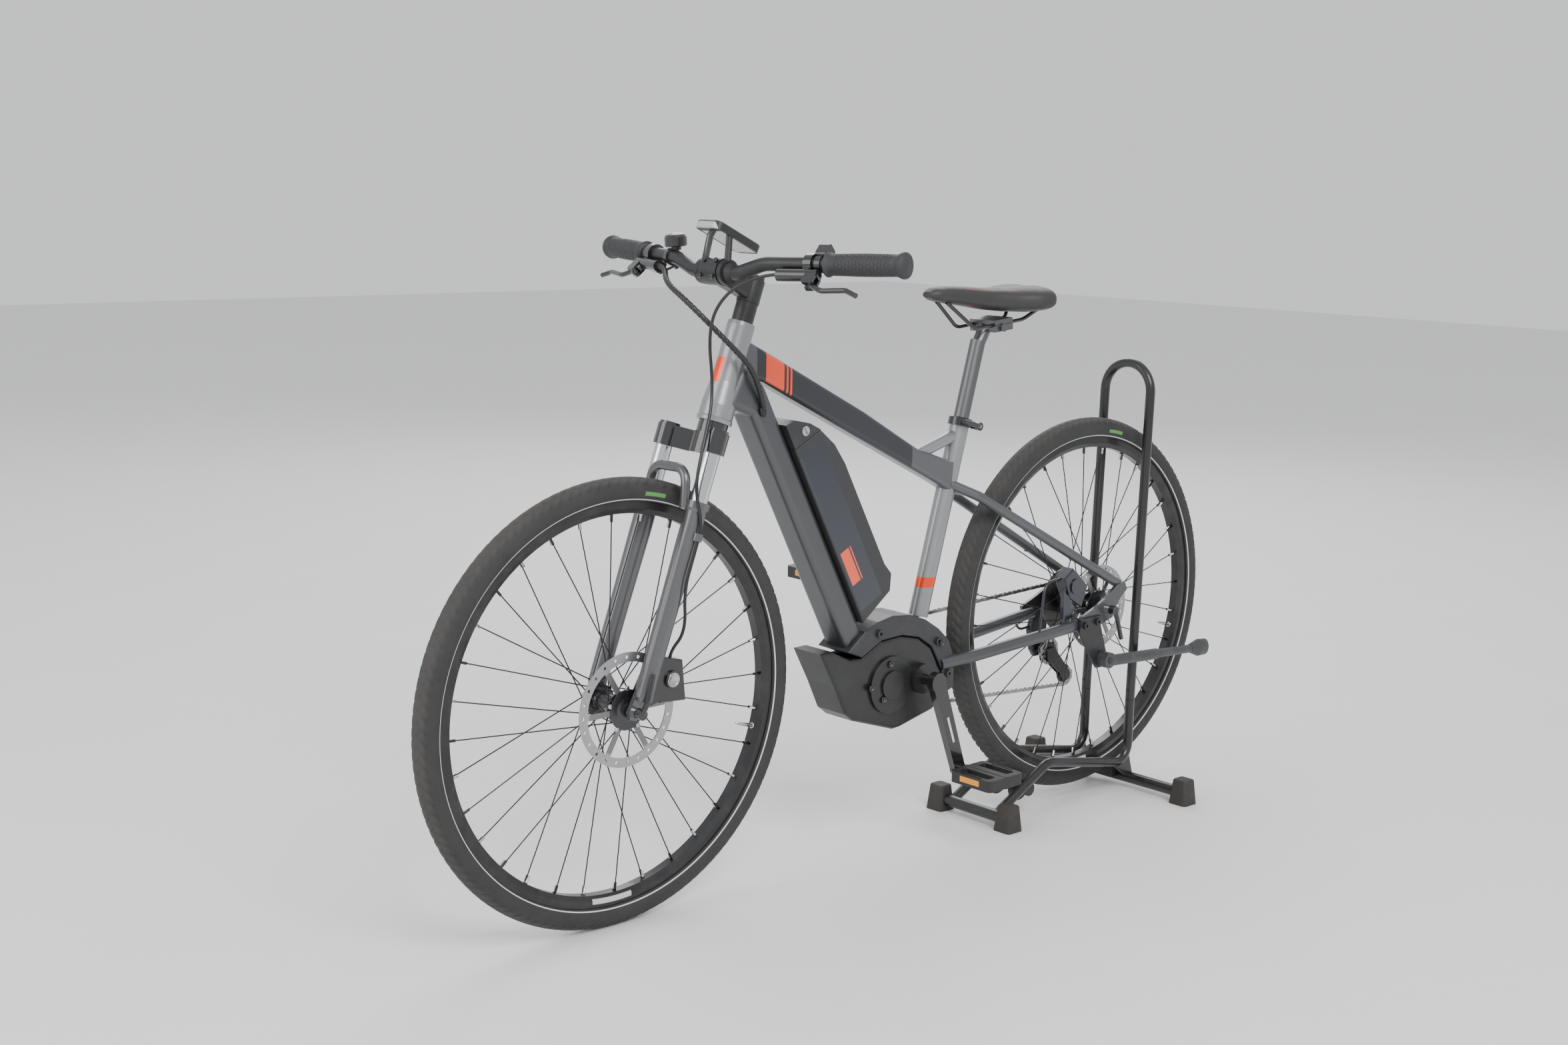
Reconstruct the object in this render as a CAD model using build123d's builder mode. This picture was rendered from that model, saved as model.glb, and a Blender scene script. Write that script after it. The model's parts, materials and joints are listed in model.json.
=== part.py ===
"""A city bicycle with a centre motor, its rear wheel held in a tubular floor stand.

Millimetres.  +X is forward, +Y is the rider's left, +Z is up.  The origin is on the floor, midway
between the axles.  The stand lifts the rear tyre clear of the floor, so the whole bicycle leans
slightly nose down: every bicycle dimension is given in the bicycle's own side view (x ahead of the
rear axle, z above the line under both tyres) and placed by at() and side().
"""
from build123d import *
from math import asin, atan2, cos, pi, radians, sin, sqrt
import os

os.makedirs("parts", exist_ok=True)

# ---------------------------------------------------------------- driving dimensions
WHEELBASE = 1105.6
TYRE_RADIUS = 353.0          # 42-622 tyre
TYRE_WIDTH = 42.0
RIM_RADIUS = 317.3
RIM_WIDTH = 25.0
WHEEL_LIFT = 19.0            # rear tyre above the floor
STEERING_ANGLE = 69.45
HEAD_BOTTOM = (900.7, 778.2)
HEAD_LENGTH = 151.0
FORK_LEG_SPACING = 116.0     # between leg centres
FORK_LEG_OFFSET = 36.0
AXLE_OFFSET = 42.6
SEAT_ANGLE = 73.8
SEAT_TUBE_FOOT = (435.3, 392.5)
SEAT_TUBE_LENGTH = 355.0
SEAT_TUBE_RADIUS = 17.0
SEATPOST_RADIUS = 13.6
SEATPOST_TOP = 494.0         # along the seat tube
CRANK_AXLE = (470.0, 295.0)
CRANK_LENGTH = 175.0
CRANK_TURN = 250.6           # direction of the left arm, degrees from forward
CHAIN_PITCH = 12.7
CHAINRING_TEETH = 40
COG_TEETH = (32, 28, 24, 20, 16, 14, 12, 11)
COG_IN_USE = 4
COG_SPACING = 4.0
FIRST_COG_Y = -36.0
CHAIN_Y = FIRST_COG_Y - COG_IN_USE * COG_SPACING
CHAIN_WIDTH = 5.6
CHAIN_HEIGHT = 8.4
JOCKEY_TEETH = 11
UPPER_JOCKEY = (19.5, 252.0)
LOWER_JOCKEY = (-26.5, 200.5)
REAR_HUB_HALF = 67.5
FRONT_HUB_HALF = 50.0
DROPOUT_THICK = 6.0
DOWN_TUBE_WIDTH = 58.0
TOP_TUBE_WIDTH = 36.0
BATTERY_WIDTH = 76.0
BAR_RADIUS = 11.1
BAR_CLAMP = (897.6, 1007.0)
BAR_END = (833.5, 345.0, 1030.0)
SPOKES = 32
SPOKE_RADIUS = 1.0
STAND_TUBE_RADIUS = 9.0
STAND_BAR_RADIUS = 11.0
STAND_BAR_Z = 20.5
STAND_GAP = 108.0            # between the hoop's leg centres
STAND_FRONT_X = 272.0        # ahead of the rear axle
STAND_REAR_X = -112.0
STAND_FRONT_HALF = 104.0
STAND_REAR_HALF = 204.0
HOOP_TOP = 822.0
FOOT_HEIGHT = 48.0

# ---------------------------------------------------------------- frames
PITCH = asin(WHEEL_LIFT / WHEELBASE)
FORWARD = Vector(cos(PITCH), 0, -sin(PITCH))
UPWARD = Vector(sin(PITCH), 0, cos(PITCH))
LEFT = Vector(0, 1, 0)
REAR_AXLE = Vector(-WHEELBASE / 2 * cos(PITCH), 0, TYRE_RADIUS + WHEEL_LIFT)
GROUND = REAR_AXLE - UPWARD * TYRE_RADIUS


def toward(x, y, z):
    """Direction given in the bicycle's own axes."""
    return FORWARD * x + LEFT * y + UPWARD * z


def at(x, y, z):
    """Point given in the bicycle's own axes: ahead of the rear axle, left, above its ground line."""
    return GROUND + toward(x, y, z)


def side(y):
    """Side-view plane at y; its own x and y are the bicycle's x and z, its normal points right."""
    return Plane(origin=GROUND + LEFT * y, x_dir=FORWARD, z_dir=(0, -1, 0))


def across(x, z, y=0.0):
    """Plane at a point, facing left: its normal is the axle direction."""
    return Plane(origin=at(x, y, z), x_dir=FORWARD * -1, z_dir=LEFT)


def inclined(foot, angle):
    """Plane square to a tube that leans back at the given angle; its own x points forward."""
    along = toward(-cos(radians(angle)), 0, sin(radians(angle)))
    ahead = toward(sin(radians(angle)), 0, cos(radians(angle)))
    return Plane(origin=at(foot[0], 0, foot[1]), x_dir=ahead, z_dir=along)


STEER = inclined(HEAD_BOTTOM, STEERING_ANGLE)
SEAT = inclined(SEAT_TUBE_FOOT, SEAT_ANGLE)


def on(plane, x, y, z=0.0):
    """Point given in a plane's own axes."""
    return plane.from_local_coords((x, y, z))


# ---------------------------------------------------------------- helpers that act in the open builder
def turned(plane, profile, mode=Mode.ADD):
    """Body of revolution from (radius, height) pairs about the plane's normal."""
    with BuildSketch(Plane(origin=plane.origin, x_dir=plane.x_dir, z_dir=plane.y_dir * -1)) as section:
        with BuildLine():
            Polyline(*profile, close=True)
        make_face()
    revolve(section.sketch, axis=Axis(plane.origin, plane.z_dir), mode=mode)


def rod(start, end, radius, mode=Mode.ADD):
    """Round bar between two points."""
    line = Vector(end) - Vector(start)
    with BuildSketch(Plane(origin=Vector(start), z_dir=line)) as section:
        Circle(radius)
    extrude(section.sketch, amount=line.length, mode=mode)


def plate(outline, y_low, y_high, mode=Mode.ADD):
    """Slab with a side-view outline, between two values of y."""
    with BuildSketch(side(y_high)) as section:
        with BuildLine():
            Polyline(*outline, close=True)
        make_face()
    extrude(section.sketch, amount=y_high - y_low, mode=mode)


def disc(x, z, radius, y_low, y_high, mode=Mode.ADD):
    """Round slab with its axis along the axles, between two values of y."""
    with BuildSketch(side(y_high)) as section:
        with Locations((x, z)):
            Circle(radius)
    extrude(section.sketch, amount=y_high - y_low, mode=mode)


def bent(points, radii, radius, mode=Mode.ADD):
    """Round tube along straight runs joined by tangent arcs, one bend radius per corner."""
    with BuildLine() as path:
        FilletPolyline(*points, radius=radii)
    with BuildSketch(Plane(origin=path.line @ 0, z_dir=path.line % 0)) as section:
        Circle(radius)
    sweep(section.sketch, path=path.line, mode=mode)


def soften(part, radius):
    """Round the outline edges of a slab's two side faces."""
    faces = part.faces().filter_by(Axis.Y).sort_by(Axis.Y)
    fillet(faces[0].edges() + faces[-1].edges(), radius=radius)



# ---------------------------------------------------------------- the stand
RAIL_Y = STAND_GAP / 2
FLOOR_SHIFT = REAR_AXLE.X    # stand lengths are measured level, from below the rear axle
STAND_LEG_X = STAND_REAR_X + 8
GUSSET = [(STAND_REAR_X - 8, 24), (STAND_REAR_X + 10, 24), (STAND_REAR_X + 52, 54), (STAND_REAR_X + 10, 82)]

with BuildPart() as stand_base:
    for bar_x, half in ((STAND_FRONT_X, STAND_FRONT_HALF), (STAND_REAR_X, STAND_REAR_HALF)):
        with BuildSketch(Plane.XZ.offset(-(half - 6))):
            with Locations((bar_x + FLOOR_SHIFT, STAND_BAR_Z)):
                Circle(STAND_BAR_RADIUS)
        extrude(amount=2 * (half - 6))
    for rail_y in (RAIL_Y, -RAIL_Y):
        rail = [
            (STAND_FRONT_X - 2, STAND_BAR_Z + 2),
            (132, 95),
            (STAND_LEG_X, 52),
            (STAND_LEG_X, 178),
        ]
        bent([(x + FLOOR_SHIFT, rail_y, z) for x, z in rail], [42, 34], STAND_TUBE_RADIUS)
        # a welded web joins each rail to the rear bar
        with BuildSketch(Plane.XZ.offset(-rail_y)):
            with BuildLine():
                Polyline(*[(x + FLOOR_SHIFT, z) for x, z in GUSSET], close=True)
            make_face()
        extrude(amount=3, both=True)
    # the sockets are bored for the hoop's pins
    for rail_y in (RAIL_Y, -RAIL_Y):
        socket_top = Vector(STAND_LEG_X + FLOOR_SHIFT, rail_y, 178)
        with BuildSketch(Plane(origin=socket_top)):
            Circle(6.6)
        extrude(amount=-44, mode=Mode.SUBTRACT)
stand_base.part.label = "stand_base"
export_step(stand_base.part, "parts/stand_base.step")

# one rubber foot, its bore entered from -Y, its sole centred on the origin
with BuildPart() as foot:
    with BuildSketch(Plane.XY):
        RectangleRounded(40, 40, 7)
    with BuildSketch(Plane.XY.offset(FOOT_HEIGHT)):
        RectangleRounded(30, 32, 7)
    loft()
    fillet(foot.faces().sort_by(Axis.Z)[-1].edges(), radius=4)
    with BuildSketch(Plane.XZ.offset(-14)):
        with Locations((0, STAND_BAR_Z)):
            Circle(STAND_BAR_RADIUS + 0.05)
    extrude(amount=60, mode=Mode.SUBTRACT)

with BuildPart() as stand_feet:
    for bar_x, half in ((STAND_FRONT_X, STAND_FRONT_HALF), (STAND_REAR_X, STAND_REAR_HALF)):
        for hand, turn in ((1, 0), (-1, 180)):
            with Locations(Location((bar_x + FLOOR_SHIFT, hand * (half - 20), 0), (0, 0, turn))):
                add(foot.part)
stand_feet.part.label = "stand_feet"
export_step(stand_feet.part, "parts/stand_feet.step")


HOOP_X = STAND_LEG_X + FLOOR_SHIFT
HOOP_LEAN = 17.0             # the hoop's top stands this far behind its sockets

with BuildPart() as stand_hoop:
    hoop_foot = 178.5
    points = [
        (HOOP_X, RAIL_Y, hoop_foot),
        (HOOP_X - HOOP_LEAN, RAIL_Y, HOOP_TOP),
        (HOOP_X - HOOP_LEAN, -RAIL_Y, HOOP_TOP),
        (HOOP_X, -RAIL_Y, hoop_foot),
    ]
    bent(points, [RAIL_Y - 0.5, RAIL_Y - 0.5], STAND_TUBE_RADIUS)
    split(bisect_by=Plane.XY.offset(hoop_foot + 0.3), keep=Keep.TOP)
    for rail_y in (RAIL_Y, -RAIL_Y):
        pin_foot = Vector(HOOP_X, rail_y, hoop_foot - 38)
        rod(pin_foot, Vector(HOOP_X, rail_y, hoop_foot + 4), 6.5)
        rod((HOOP_X, rail_y, hoop_foot + 18), (HOOP_X + 10.6, rail_y, hoop_foot + 18), 3)
stand_hoop.part.label = "stand_hoop"
export_step(stand_hoop.part, "parts/stand_hoop.step")

CHEEK_X = 180 + FLOOR_SHIFT
CHEEK_Z = 52.0

with BuildPart() as stand_cups:
    # two cheeks that guide the tyre between the rails
    for hand in (1, -1):
        inner = TYRE_WIDTH / 2 + 3
        rod((CHEEK_X, hand * inner, CHEEK_Z), (CHEEK_X, hand * (inner + 4), CHEEK_Z), 27)
        rod((CHEEK_X, hand * (inner + 2), CHEEK_Z), (CHEEK_X, hand * RAIL_Y, CHEEK_Z), 13)
    # the saddle the tyre rests on, over the rear bar
    with BuildSketch(Plane.XZ.offset(-32)):
        with Locations((STAND_REAR_X + FLOOR_SHIFT, STAND_BAR_Z + 14)):
            Rectangle(44, 28)
    extrude(amount=64)
    add(stand_base.part, mode=Mode.SUBTRACT)
    with BuildSketch(Plane(origin=REAR_AXLE, x_dir=(0, 1, 0), z_dir=(1, 0, 0))):
        with Locations((0, -TYRE_RADIUS + TYRE_WIDTH / 2)):
            Circle(TYRE_WIDTH / 2 + 0.05)
    revolve(axis=Axis(REAR_AXLE, (0, 1, 0)), mode=Mode.SUBTRACT)
stand_cups.part.label = "stand_cups"
export_step(stand_cups.part, "parts/stand_cups.step")

# ---------------------------------------------------------------- the frame's tubes
HEADSET_LIP = 6.0

with BuildPart() as head_tube:
    # the tapered tube with its two headset cups, bored for the steerer
    turned(STEER, [
        (14.6, -HEADSET_LIP), (28, -HEADSET_LIP), (29, 0), (27.5, 2), (27.5, 22), (23.5, 60), (22, 100),
        (22.5, HEAD_LENGTH), (21.5, HEAD_LENGTH + HEADSET_LIP), (14.6, HEAD_LENGTH + HEADSET_LIP),
        (14.6, HEAD_LENGTH), (18.5, HEAD_LENGTH - 4), (18.5, 4), (14.6, 0),
    ])
head_tube.part.label = "head_tube"
export_step(head_tube.part, "parts/head_tube.step")

# solid stand-ins that cope the tubes welded to the head and seat tubes
with BuildPart() as head_core:
    turned(STEER, [
        (0, -HEADSET_LIP), (28, -HEADSET_LIP), (29, 0), (27.5, 2), (27.5, 22), (23.5, 60), (22, 100),
        (22.5, HEAD_LENGTH), (21.5, HEAD_LENGTH + HEADSET_LIP), (0, HEAD_LENGTH + HEADSET_LIP),
    ])
with BuildPart() as seat_core:
    rod(SEAT.origin, on(SEAT, 0, 0, SEAT_TUBE_LENGTH), SEAT_TUBE_RADIUS)

DOWN_FOOT = (633, 366)
DOWN_SLOPE = 62.8
DOWN_DEPTH = 46.0
DOWN_LENGTH = 490.0


def down(along, off):
    """Side-view point beside the down tube: distance up its lower face and distance off that face."""
    a = radians(DOWN_SLOPE)
    return (DOWN_FOOT[0] + along * cos(a) - off * sin(a), DOWN_FOOT[1] + along * sin(a) + off * cos(a))


with BuildPart() as down_tube:
    plate([down(0, 0), down(DOWN_LENGTH - 26, 0), (896, 800), (858, 876), down(DOWN_LENGTH, DOWN_DEPTH),
            down(0, DOWN_DEPTH)],
          -DOWN_TUBE_WIDTH / 2, DOWN_TUBE_WIDTH / 2)
    soften(down_tube, 13)
    add(head_core.part, mode=Mode.SUBTRACT)
down_tube.part.label = "down_tube"
export_step(down_tube.part, "parts/down_tube.step")

with BuildPart() as seat_tube:
    rod(SEAT.origin, on(SEAT, 0, 0, SEAT_TUBE_LENGTH), SEAT_TUBE_RADIUS)
    # the short brace up to the seat tube
    rod(at(470, 0, 672), at(344, 0, 707), 10.5)
    rod(on(SEAT, 0, 0, 14), on(SEAT, 0, 0, SEAT_TUBE_LENGTH + 1), SEATPOST_RADIUS + 0.05, mode=Mode.SUBTRACT)
seat_tube.part.label = "seat_tube"
export_step(seat_tube.part, "parts/seat_tube.step")

with BuildPart() as top_tube:
    plate([(862, 905), (837, 896), (583, 764), (458, 692), (366, 660), (372, 606), (401, 622), (616, 731),
            (808, 829), (880, 850)],
          -TOP_TUBE_WIDTH / 2, TOP_TUBE_WIDTH / 2)
    soften(top_tube, 9)
    add(head_core.part, mode=Mode.SUBTRACT)
    add(down_tube.part, mode=Mode.SUBTRACT)
    add(seat_core.part, mode=Mode.SUBTRACT)
    add(seat_tube.part, mode=Mode.SUBTRACT)
    rod(at(470, 0, 672), at(344, 0, 707), 10.5, mode=Mode.SUBTRACT)
top_tube.part.label = "top_tube"
export_step(top_tube.part, "parts/top_tube.step")

with BuildPart() as seat_stays:
    for hand in (1, -1):
        bent([at(372, hand * 9, 621), at(325, hand * 38, 597), at(-43, hand * 64, 392)], [30], 9)
    rod(at(338, -34, 604), at(338, 34, 604), 7)
    # small cable eyes under each stay
    for hand in (1, -1):
        for x, z in ((210, 524), (90, 457)):
            y = 38 + 26 * (325 - x) / 368
            rod(at(x, hand * y - 2, z + 2), at(x, hand * y + 2, z + 2), 4.5)
    add(seat_core.part, mode=Mode.SUBTRACT)
    add(top_tube.part, mode=Mode.SUBTRACT)
seat_stays.part.label = "seat_stays"
export_step(seat_stays.part, "parts/seat_stays.step")

DROPOUT = [(82, 346), (76, 320), (44, 316), (22, 326), (-14, 336), (-20, 350), (-30, 366), (-54, 384),
        (-46, 401),
           (-24, 396), (10, 374), (42, 360)]
BRACKET = [(640, 366), (600, 396), (568, 408), (534, 414), (490, 409), (453, 395), (420, 374), (394, 350),
        (380, 315),
           (380, 262), (402, 254), (412, 300), (438, 345), (470, 366), (512, 376), (560, 374), (606, 352)]

with BuildPart() as motor_bracket:
    plate(BRACKET, -38, 38)
    soften(motor_bracket, 3)
    add(down_tube.part, mode=Mode.SUBTRACT)
    add(seat_core.part, mode=Mode.SUBTRACT)
    # six socket bolts hold the drive unit
    for hand in (1, -1):
        for x, z in ((568, 388), (424, 352), (397, 290)):
            disc(x, z, 7, min(hand * 37, hand * 43), max(hand * 37, hand * 43))
            disc(x, z, 3, min(hand * 40, hand * 44), max(hand * 40, hand * 44), mode=Mode.SUBTRACT)
motor_bracket.part.label = "motor_bracket"
export_step(motor_bracket.part, "parts/motor_bracket.step")

with BuildPart() as chain_stays:
    for hand in (1, -1):
        bent([at(412, hand * 33, 308), at(335, hand * 47, 314), at(62, hand * 62, 332)], [60], 11)
        plate(DROPOUT, min(hand * REAR_HUB_HALF, hand * (REAR_HUB_HALF + DROPOUT_THICK)) ,
              max(hand * REAR_HUB_HALF, hand * (REAR_HUB_HALF + DROPOUT_THICK)))
    disc(0, 353, 5.2, -80, 80, mode=Mode.SUBTRACT)
    add(motor_bracket.part, mode=Mode.SUBTRACT)
    add(seat_stays.part, mode=Mode.SUBTRACT)
chain_stays.part.label = "chain_stays"
export_step(chain_stays.part, "parts/chain_stays.step")

MOTOR = [(632, 352), (606, 351), (560, 373), (512, 375), (470, 365), (439, 344), (413, 299), (404, 256),
        (416, 240),
         (432, 230), (511, 213), (529, 212), (624, 244), (643, 259), (667, 310), (700, 372), (672, 372)]

with BuildPart() as drive_unit:
    plate(MOTOR, -37, 37)
    soften(drive_unit, 6)
    disc(539, 294, 50, -42, 42)
    disc(539, 294, 25, 42, 46)
    disc(*CRANK_AXLE, 26, -48, 52)
    disc(*CRANK_AXLE, 9.3, -60, 60, mode=Mode.SUBTRACT)
    add(down_tube.part, mode=Mode.SUBTRACT)
    add(motor_bracket.part, mode=Mode.SUBTRACT)
    add(chain_stays.part, mode=Mode.SUBTRACT)
drive_unit.part.label = "drive_unit"
export_step(drive_unit.part, "parts/drive_unit.step")

# ---------------------------------------------------------------- seat
COLLAR_FOOT = SEAT_TUBE_LENGTH - 15
COLLAR_TOP = SEAT_TUBE_LENGTH
LEVER_PIVOT = (-34, 20)      # across the collar: behind the tube, on its left

with BuildPart() as seat_collar:
    collar_plane = SEAT.offset(COLLAR_FOOT)
    turned(collar_plane, [(SEAT_TUBE_RADIUS + 0.02, 0), (21.5, 0), (21.5, 14), (20.5, 15),
            (SEAT_TUBE_RADIUS + 0.02, 15)])
    for y_low, y_high in ((3, 13), (-13, -3)):
        with BuildSketch(SEAT.offset(COLLAR_FOOT + 1)):
            with Locations((-28, (y_low + y_high) / 2)):
                Rectangle(18, y_high - y_low)
        extrude(amount=13)
    # the slit behind the tube
    with BuildSketch(SEAT.offset(COLLAR_FOOT - 1)):
        with Locations((-25, 0)):
            Rectangle(20, 4)
    extrude(amount=17, mode=Mode.SUBTRACT)
    rod(on(SEAT, -29, -19, COLLAR_FOOT + 7.5), on(SEAT, -29, 19, COLLAR_FOOT + 7.5), 3.2)
    rod(on(SEAT, -29, -19, COLLAR_FOOT + 7.5), on(SEAT, -29, -13, COLLAR_FOOT + 7.5), 6)
seat_collar.part.label = "seat_collar"
export_step(seat_collar.part, "parts/seat_collar.step")

with BuildPart() as seat_collar_lever:
    # cam head and blade, closed forward along the collar's left side
    rod(on(SEAT, -29, 13.3, COLLAR_FOOT + 7.5), on(SEAT, -29, 22.5, COLLAR_FOOT + 7.5), 7.5)
    bent([on(SEAT, -29, 21, COLLAR_FOOT + 7.5), on(SEAT, -18, 27, COLLAR_FOOT + 7.5), on(SEAT, 22, 27,
            COLLAR_FOOT + 7.5)], [8], 4.2)
    rod(on(SEAT, -29, 10, COLLAR_FOOT + 7.5), on(SEAT, -29, 19.05, COLLAR_FOOT + 7.5), 3.25,
            mode=Mode.SUBTRACT)
seat_collar_lever.part.label = "seat_collar_lever"
export_step(seat_collar_lever.part, "parts/seat_collar_lever.step")

RAIL_HALF = 22.0
SADDLE_CLAMP = (262, 897)

with BuildPart() as seatpost:
    rod(on(SEAT, 0, 0, 210), on(SEAT, 0, 0, SEATPOST_TOP), SEATPOST_RADIUS)
    rod(on(SEAT, 0, 0, SEATPOST_TOP - 12), at(280, 0, 889), 12)
    # clamp plates above and below the rails, drawn together by a bolt
    plate([(240, 886), (286, 882), (287, 893.5), (241, 897.5)], -30, 30)
    plate([(241, 898.2), (287, 894.2), (288, 903), (242, 907)], -30, 30)
    rod(at(268, -34, 890), at(268, 34, 890), 4)
    for hand in (1, -1):
        rod(at(268, hand * 30, 890), at(268, hand * 34.5, 890), 7)
    rod(at(264, 0, 890), at(264.5, 0, 902), 6)
    for hand in (1, -1):
        rod(at(200, hand * RAIL_HALF, 901.4), at(320, hand * RAIL_HALF, 890.96), 3.55, mode=Mode.SUBTRACT)
seatpost.part.label = "seatpost"
export_step(seatpost.part, "parts/seatpost.step")

with BuildPart() as saddle_rails:
    for hand in (1, -1):
        bent([at(392, hand * 12, 938), at(330, hand * RAIL_HALF, 890.09), at(205, hand * RAIL_HALF,
                900.96), at(172, hand * 40, 926)],
             [26, 26], 3.5)
saddle_rails.part.label = "saddle_rails"
export_step(saddle_rails.part, "parts/saddle_rails.step")

# saddle sections from nose to tail: x, half width, underside, top
SADDLE_SECTIONS = [
    (428, 12, 938, 957), (405, 21, 933, 964), (340, 27, 926, 965), (270, 42, 918, 957),
    (215, 66, 912, 957), (175, 78, 912, 960), (155, 70, 920, 956),
]

with BuildPart() as saddle:
    for x, half, low, high in SADDLE_SECTIONS:
        with BuildSketch(Plane(origin=at(x, 0, (low + high) / 2), x_dir=LEFT, z_dir=FORWARD)):
            RectangleRounded(2 * half, high - low, (high - low) * 0.45)
    loft()
    add(saddle_rails.part, mode=Mode.SUBTRACT)
    with BuildSketch(side(100)):
        with BuildLine():
            Polyline((430, 880), (430, 930), (372, 921), (280, 911), (215, 908), (140, 907), (140, 880),
                    close=True)
        make_face()
    extrude(amount=200, mode=Mode.SUBTRACT)
saddle.part.label = "saddle"
export_step(saddle.part, "parts/saddle.step")

# ---------------------------------------------------------------- battery
BATTERY_FACE = DOWN_DEPTH + 0.4
BATTERY_FOOT = 27.0
BATTERY_END = 375.0
MOUNT_RAIL = 8.0

with BuildPart() as battery_mount:
    # rail along the tube, foot socket, and the latch head above the battery
    plate([down(34, DOWN_DEPTH), down(BATTERY_END + 30, DOWN_DEPTH), down(BATTERY_END + 30,
            DOWN_DEPTH + MOUNT_RAIL),
           down(34, DOWN_DEPTH + MOUNT_RAIL)], -19, 19)
    plate([down(BATTERY_END + 0.5, DOWN_DEPTH), down(BATTERY_END + 46, DOWN_DEPTH), down(BATTERY_END + 42,
            DOWN_DEPTH + 22),
           down(BATTERY_END + 22, DOWN_DEPTH + 46), down(BATTERY_END + 0.5, DOWN_DEPTH + 62)],
          -BATTERY_WIDTH / 2, BATTERY_WIDTH / 2)
    disc(*down(BATTERY_END + 16, DOWN_DEPTH + 32), 8.05, BATTERY_WIDTH / 2 - 14, BATTERY_WIDTH / 2 + 2,
            mode=Mode.SUBTRACT)
battery_mount.part.label = "battery_mount"
export_step(battery_mount.part, "parts/battery_mount.step")

with BuildPart() as battery:
    plate([down(BATTERY_FOOT, BATTERY_FACE), down(BATTERY_END, BATTERY_FACE), down(BATTERY_END,
            DOWN_DEPTH + 63),
           down(BATTERY_END - 40, DOWN_DEPTH + 80), down(BATTERY_END - 80, DOWN_DEPTH + 86), down(90,
                   DOWN_DEPTH + 88),
           down(66, DOWN_DEPTH + 94), down(40, DOWN_DEPTH + 78)],
          -BATTERY_WIDTH / 2, BATTERY_WIDTH / 2)
    soften(battery, 5)
    plate([down(0, DOWN_DEPTH - 1), down(420, DOWN_DEPTH - 1), down(420, DOWN_DEPTH + MOUNT_RAIL + 0.4),
           down(0, DOWN_DEPTH + MOUNT_RAIL + 0.4)], -19.4, 19.4, mode=Mode.SUBTRACT)
battery.part.label = "battery"
export_step(battery.part, "parts/battery.step")

with BuildPart() as battery_lock:
    disc(*down(BATTERY_END + 16, DOWN_DEPTH + 32), 8, BATTERY_WIDTH / 2 - 14, BATTERY_WIDTH / 2 + 1.5)
    plate([down(BATTERY_END + 10, DOWN_DEPTH + 31.2), down(BATTERY_END + 22, DOWN_DEPTH + 31.2),
           down(BATTERY_END + 22, DOWN_DEPTH + 32.8), down(BATTERY_END + 10, DOWN_DEPTH + 32.8)],
          BATTERY_WIDTH / 2 - 2, BATTERY_WIDTH / 2 + 3, mode=Mode.SUBTRACT)
battery_lock.part.label = "battery_lock"
export_step(battery_lock.part, "parts/battery_lock.step")

# ---------------------------------------------------------------- side stand and rear brake
KICK_PIVOT = (20, 262)
KICK_Y = 89.0
PLATE_OUT = REAR_HUB_HALF + DROPOUT_THICK

with BuildPart() as kickstand_bracket:
    plate([(84, 346), (86, 322), (52, 268), (34, 246), (14, 246), (4, 262), (16, 296), (28, 332), (26, 346)],
          PLATE_OUT + 0.02, PLATE_OUT + 5)
    for x, z in ((72, 333), (38, 336)):
        disc(x, z, 6.5, PLATE_OUT + 5, PLATE_OUT + 10)
        disc(x, z, 3, PLATE_OUT + 7, PLATE_OUT + 11, mode=Mode.SUBTRACT)
    disc(*KICK_PIVOT, 6, PLATE_OUT + 5, KICK_Y + 11)
kickstand_bracket.part.label = "kickstand_bracket"
export_step(kickstand_bracket.part, "parts/kickstand_bracket.step")

with BuildPart() as kickstand_leg:
    disc(*KICK_PIVOT, 15, PLATE_OUT + 5.3, KICK_Y + 10)
    rod(at(18, KICK_Y, 259), at(-130, KICK_Y, 249), 10.5)
    rod(at(-120, KICK_Y, 249.7), at(-262, KICK_Y, 240), 8)
    # flared foot
    with BuildSketch(Plane(origin=at(-236, KICK_Y, 242), x_dir=LEFT, z_dir=toward(-1, 0, -0.07))):
        Circle(8.5)
    with BuildSketch(Plane(origin=at(-262, KICK_Y, 240), x_dir=LEFT, z_dir=toward(-1, 0, -0.07))):
        Ellipse(12, 17)
    loft()
    with BuildSketch(Plane(origin=at(-262, KICK_Y, 240), x_dir=LEFT, z_dir=toward(-1, 0, -0.07))):
        Ellipse(12, 17)
    with BuildSketch(Plane(origin=at(-284, KICK_Y, 238.5), x_dir=LEFT, z_dir=toward(-1, 0, -0.07))):
        Ellipse(11, 16)
    loft()
    disc(*KICK_PIVOT, 6.05, 60, KICK_Y + 20, mode=Mode.SUBTRACT)
kickstand_leg.part.label = "kickstand_leg"
export_step(kickstand_leg.part, "parts/kickstand_leg.step")

ROTOR_THICK = 1.8
REAR_ROTOR_Y = 48.0
REAR_ROTOR_RADIUS = 80.0

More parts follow.
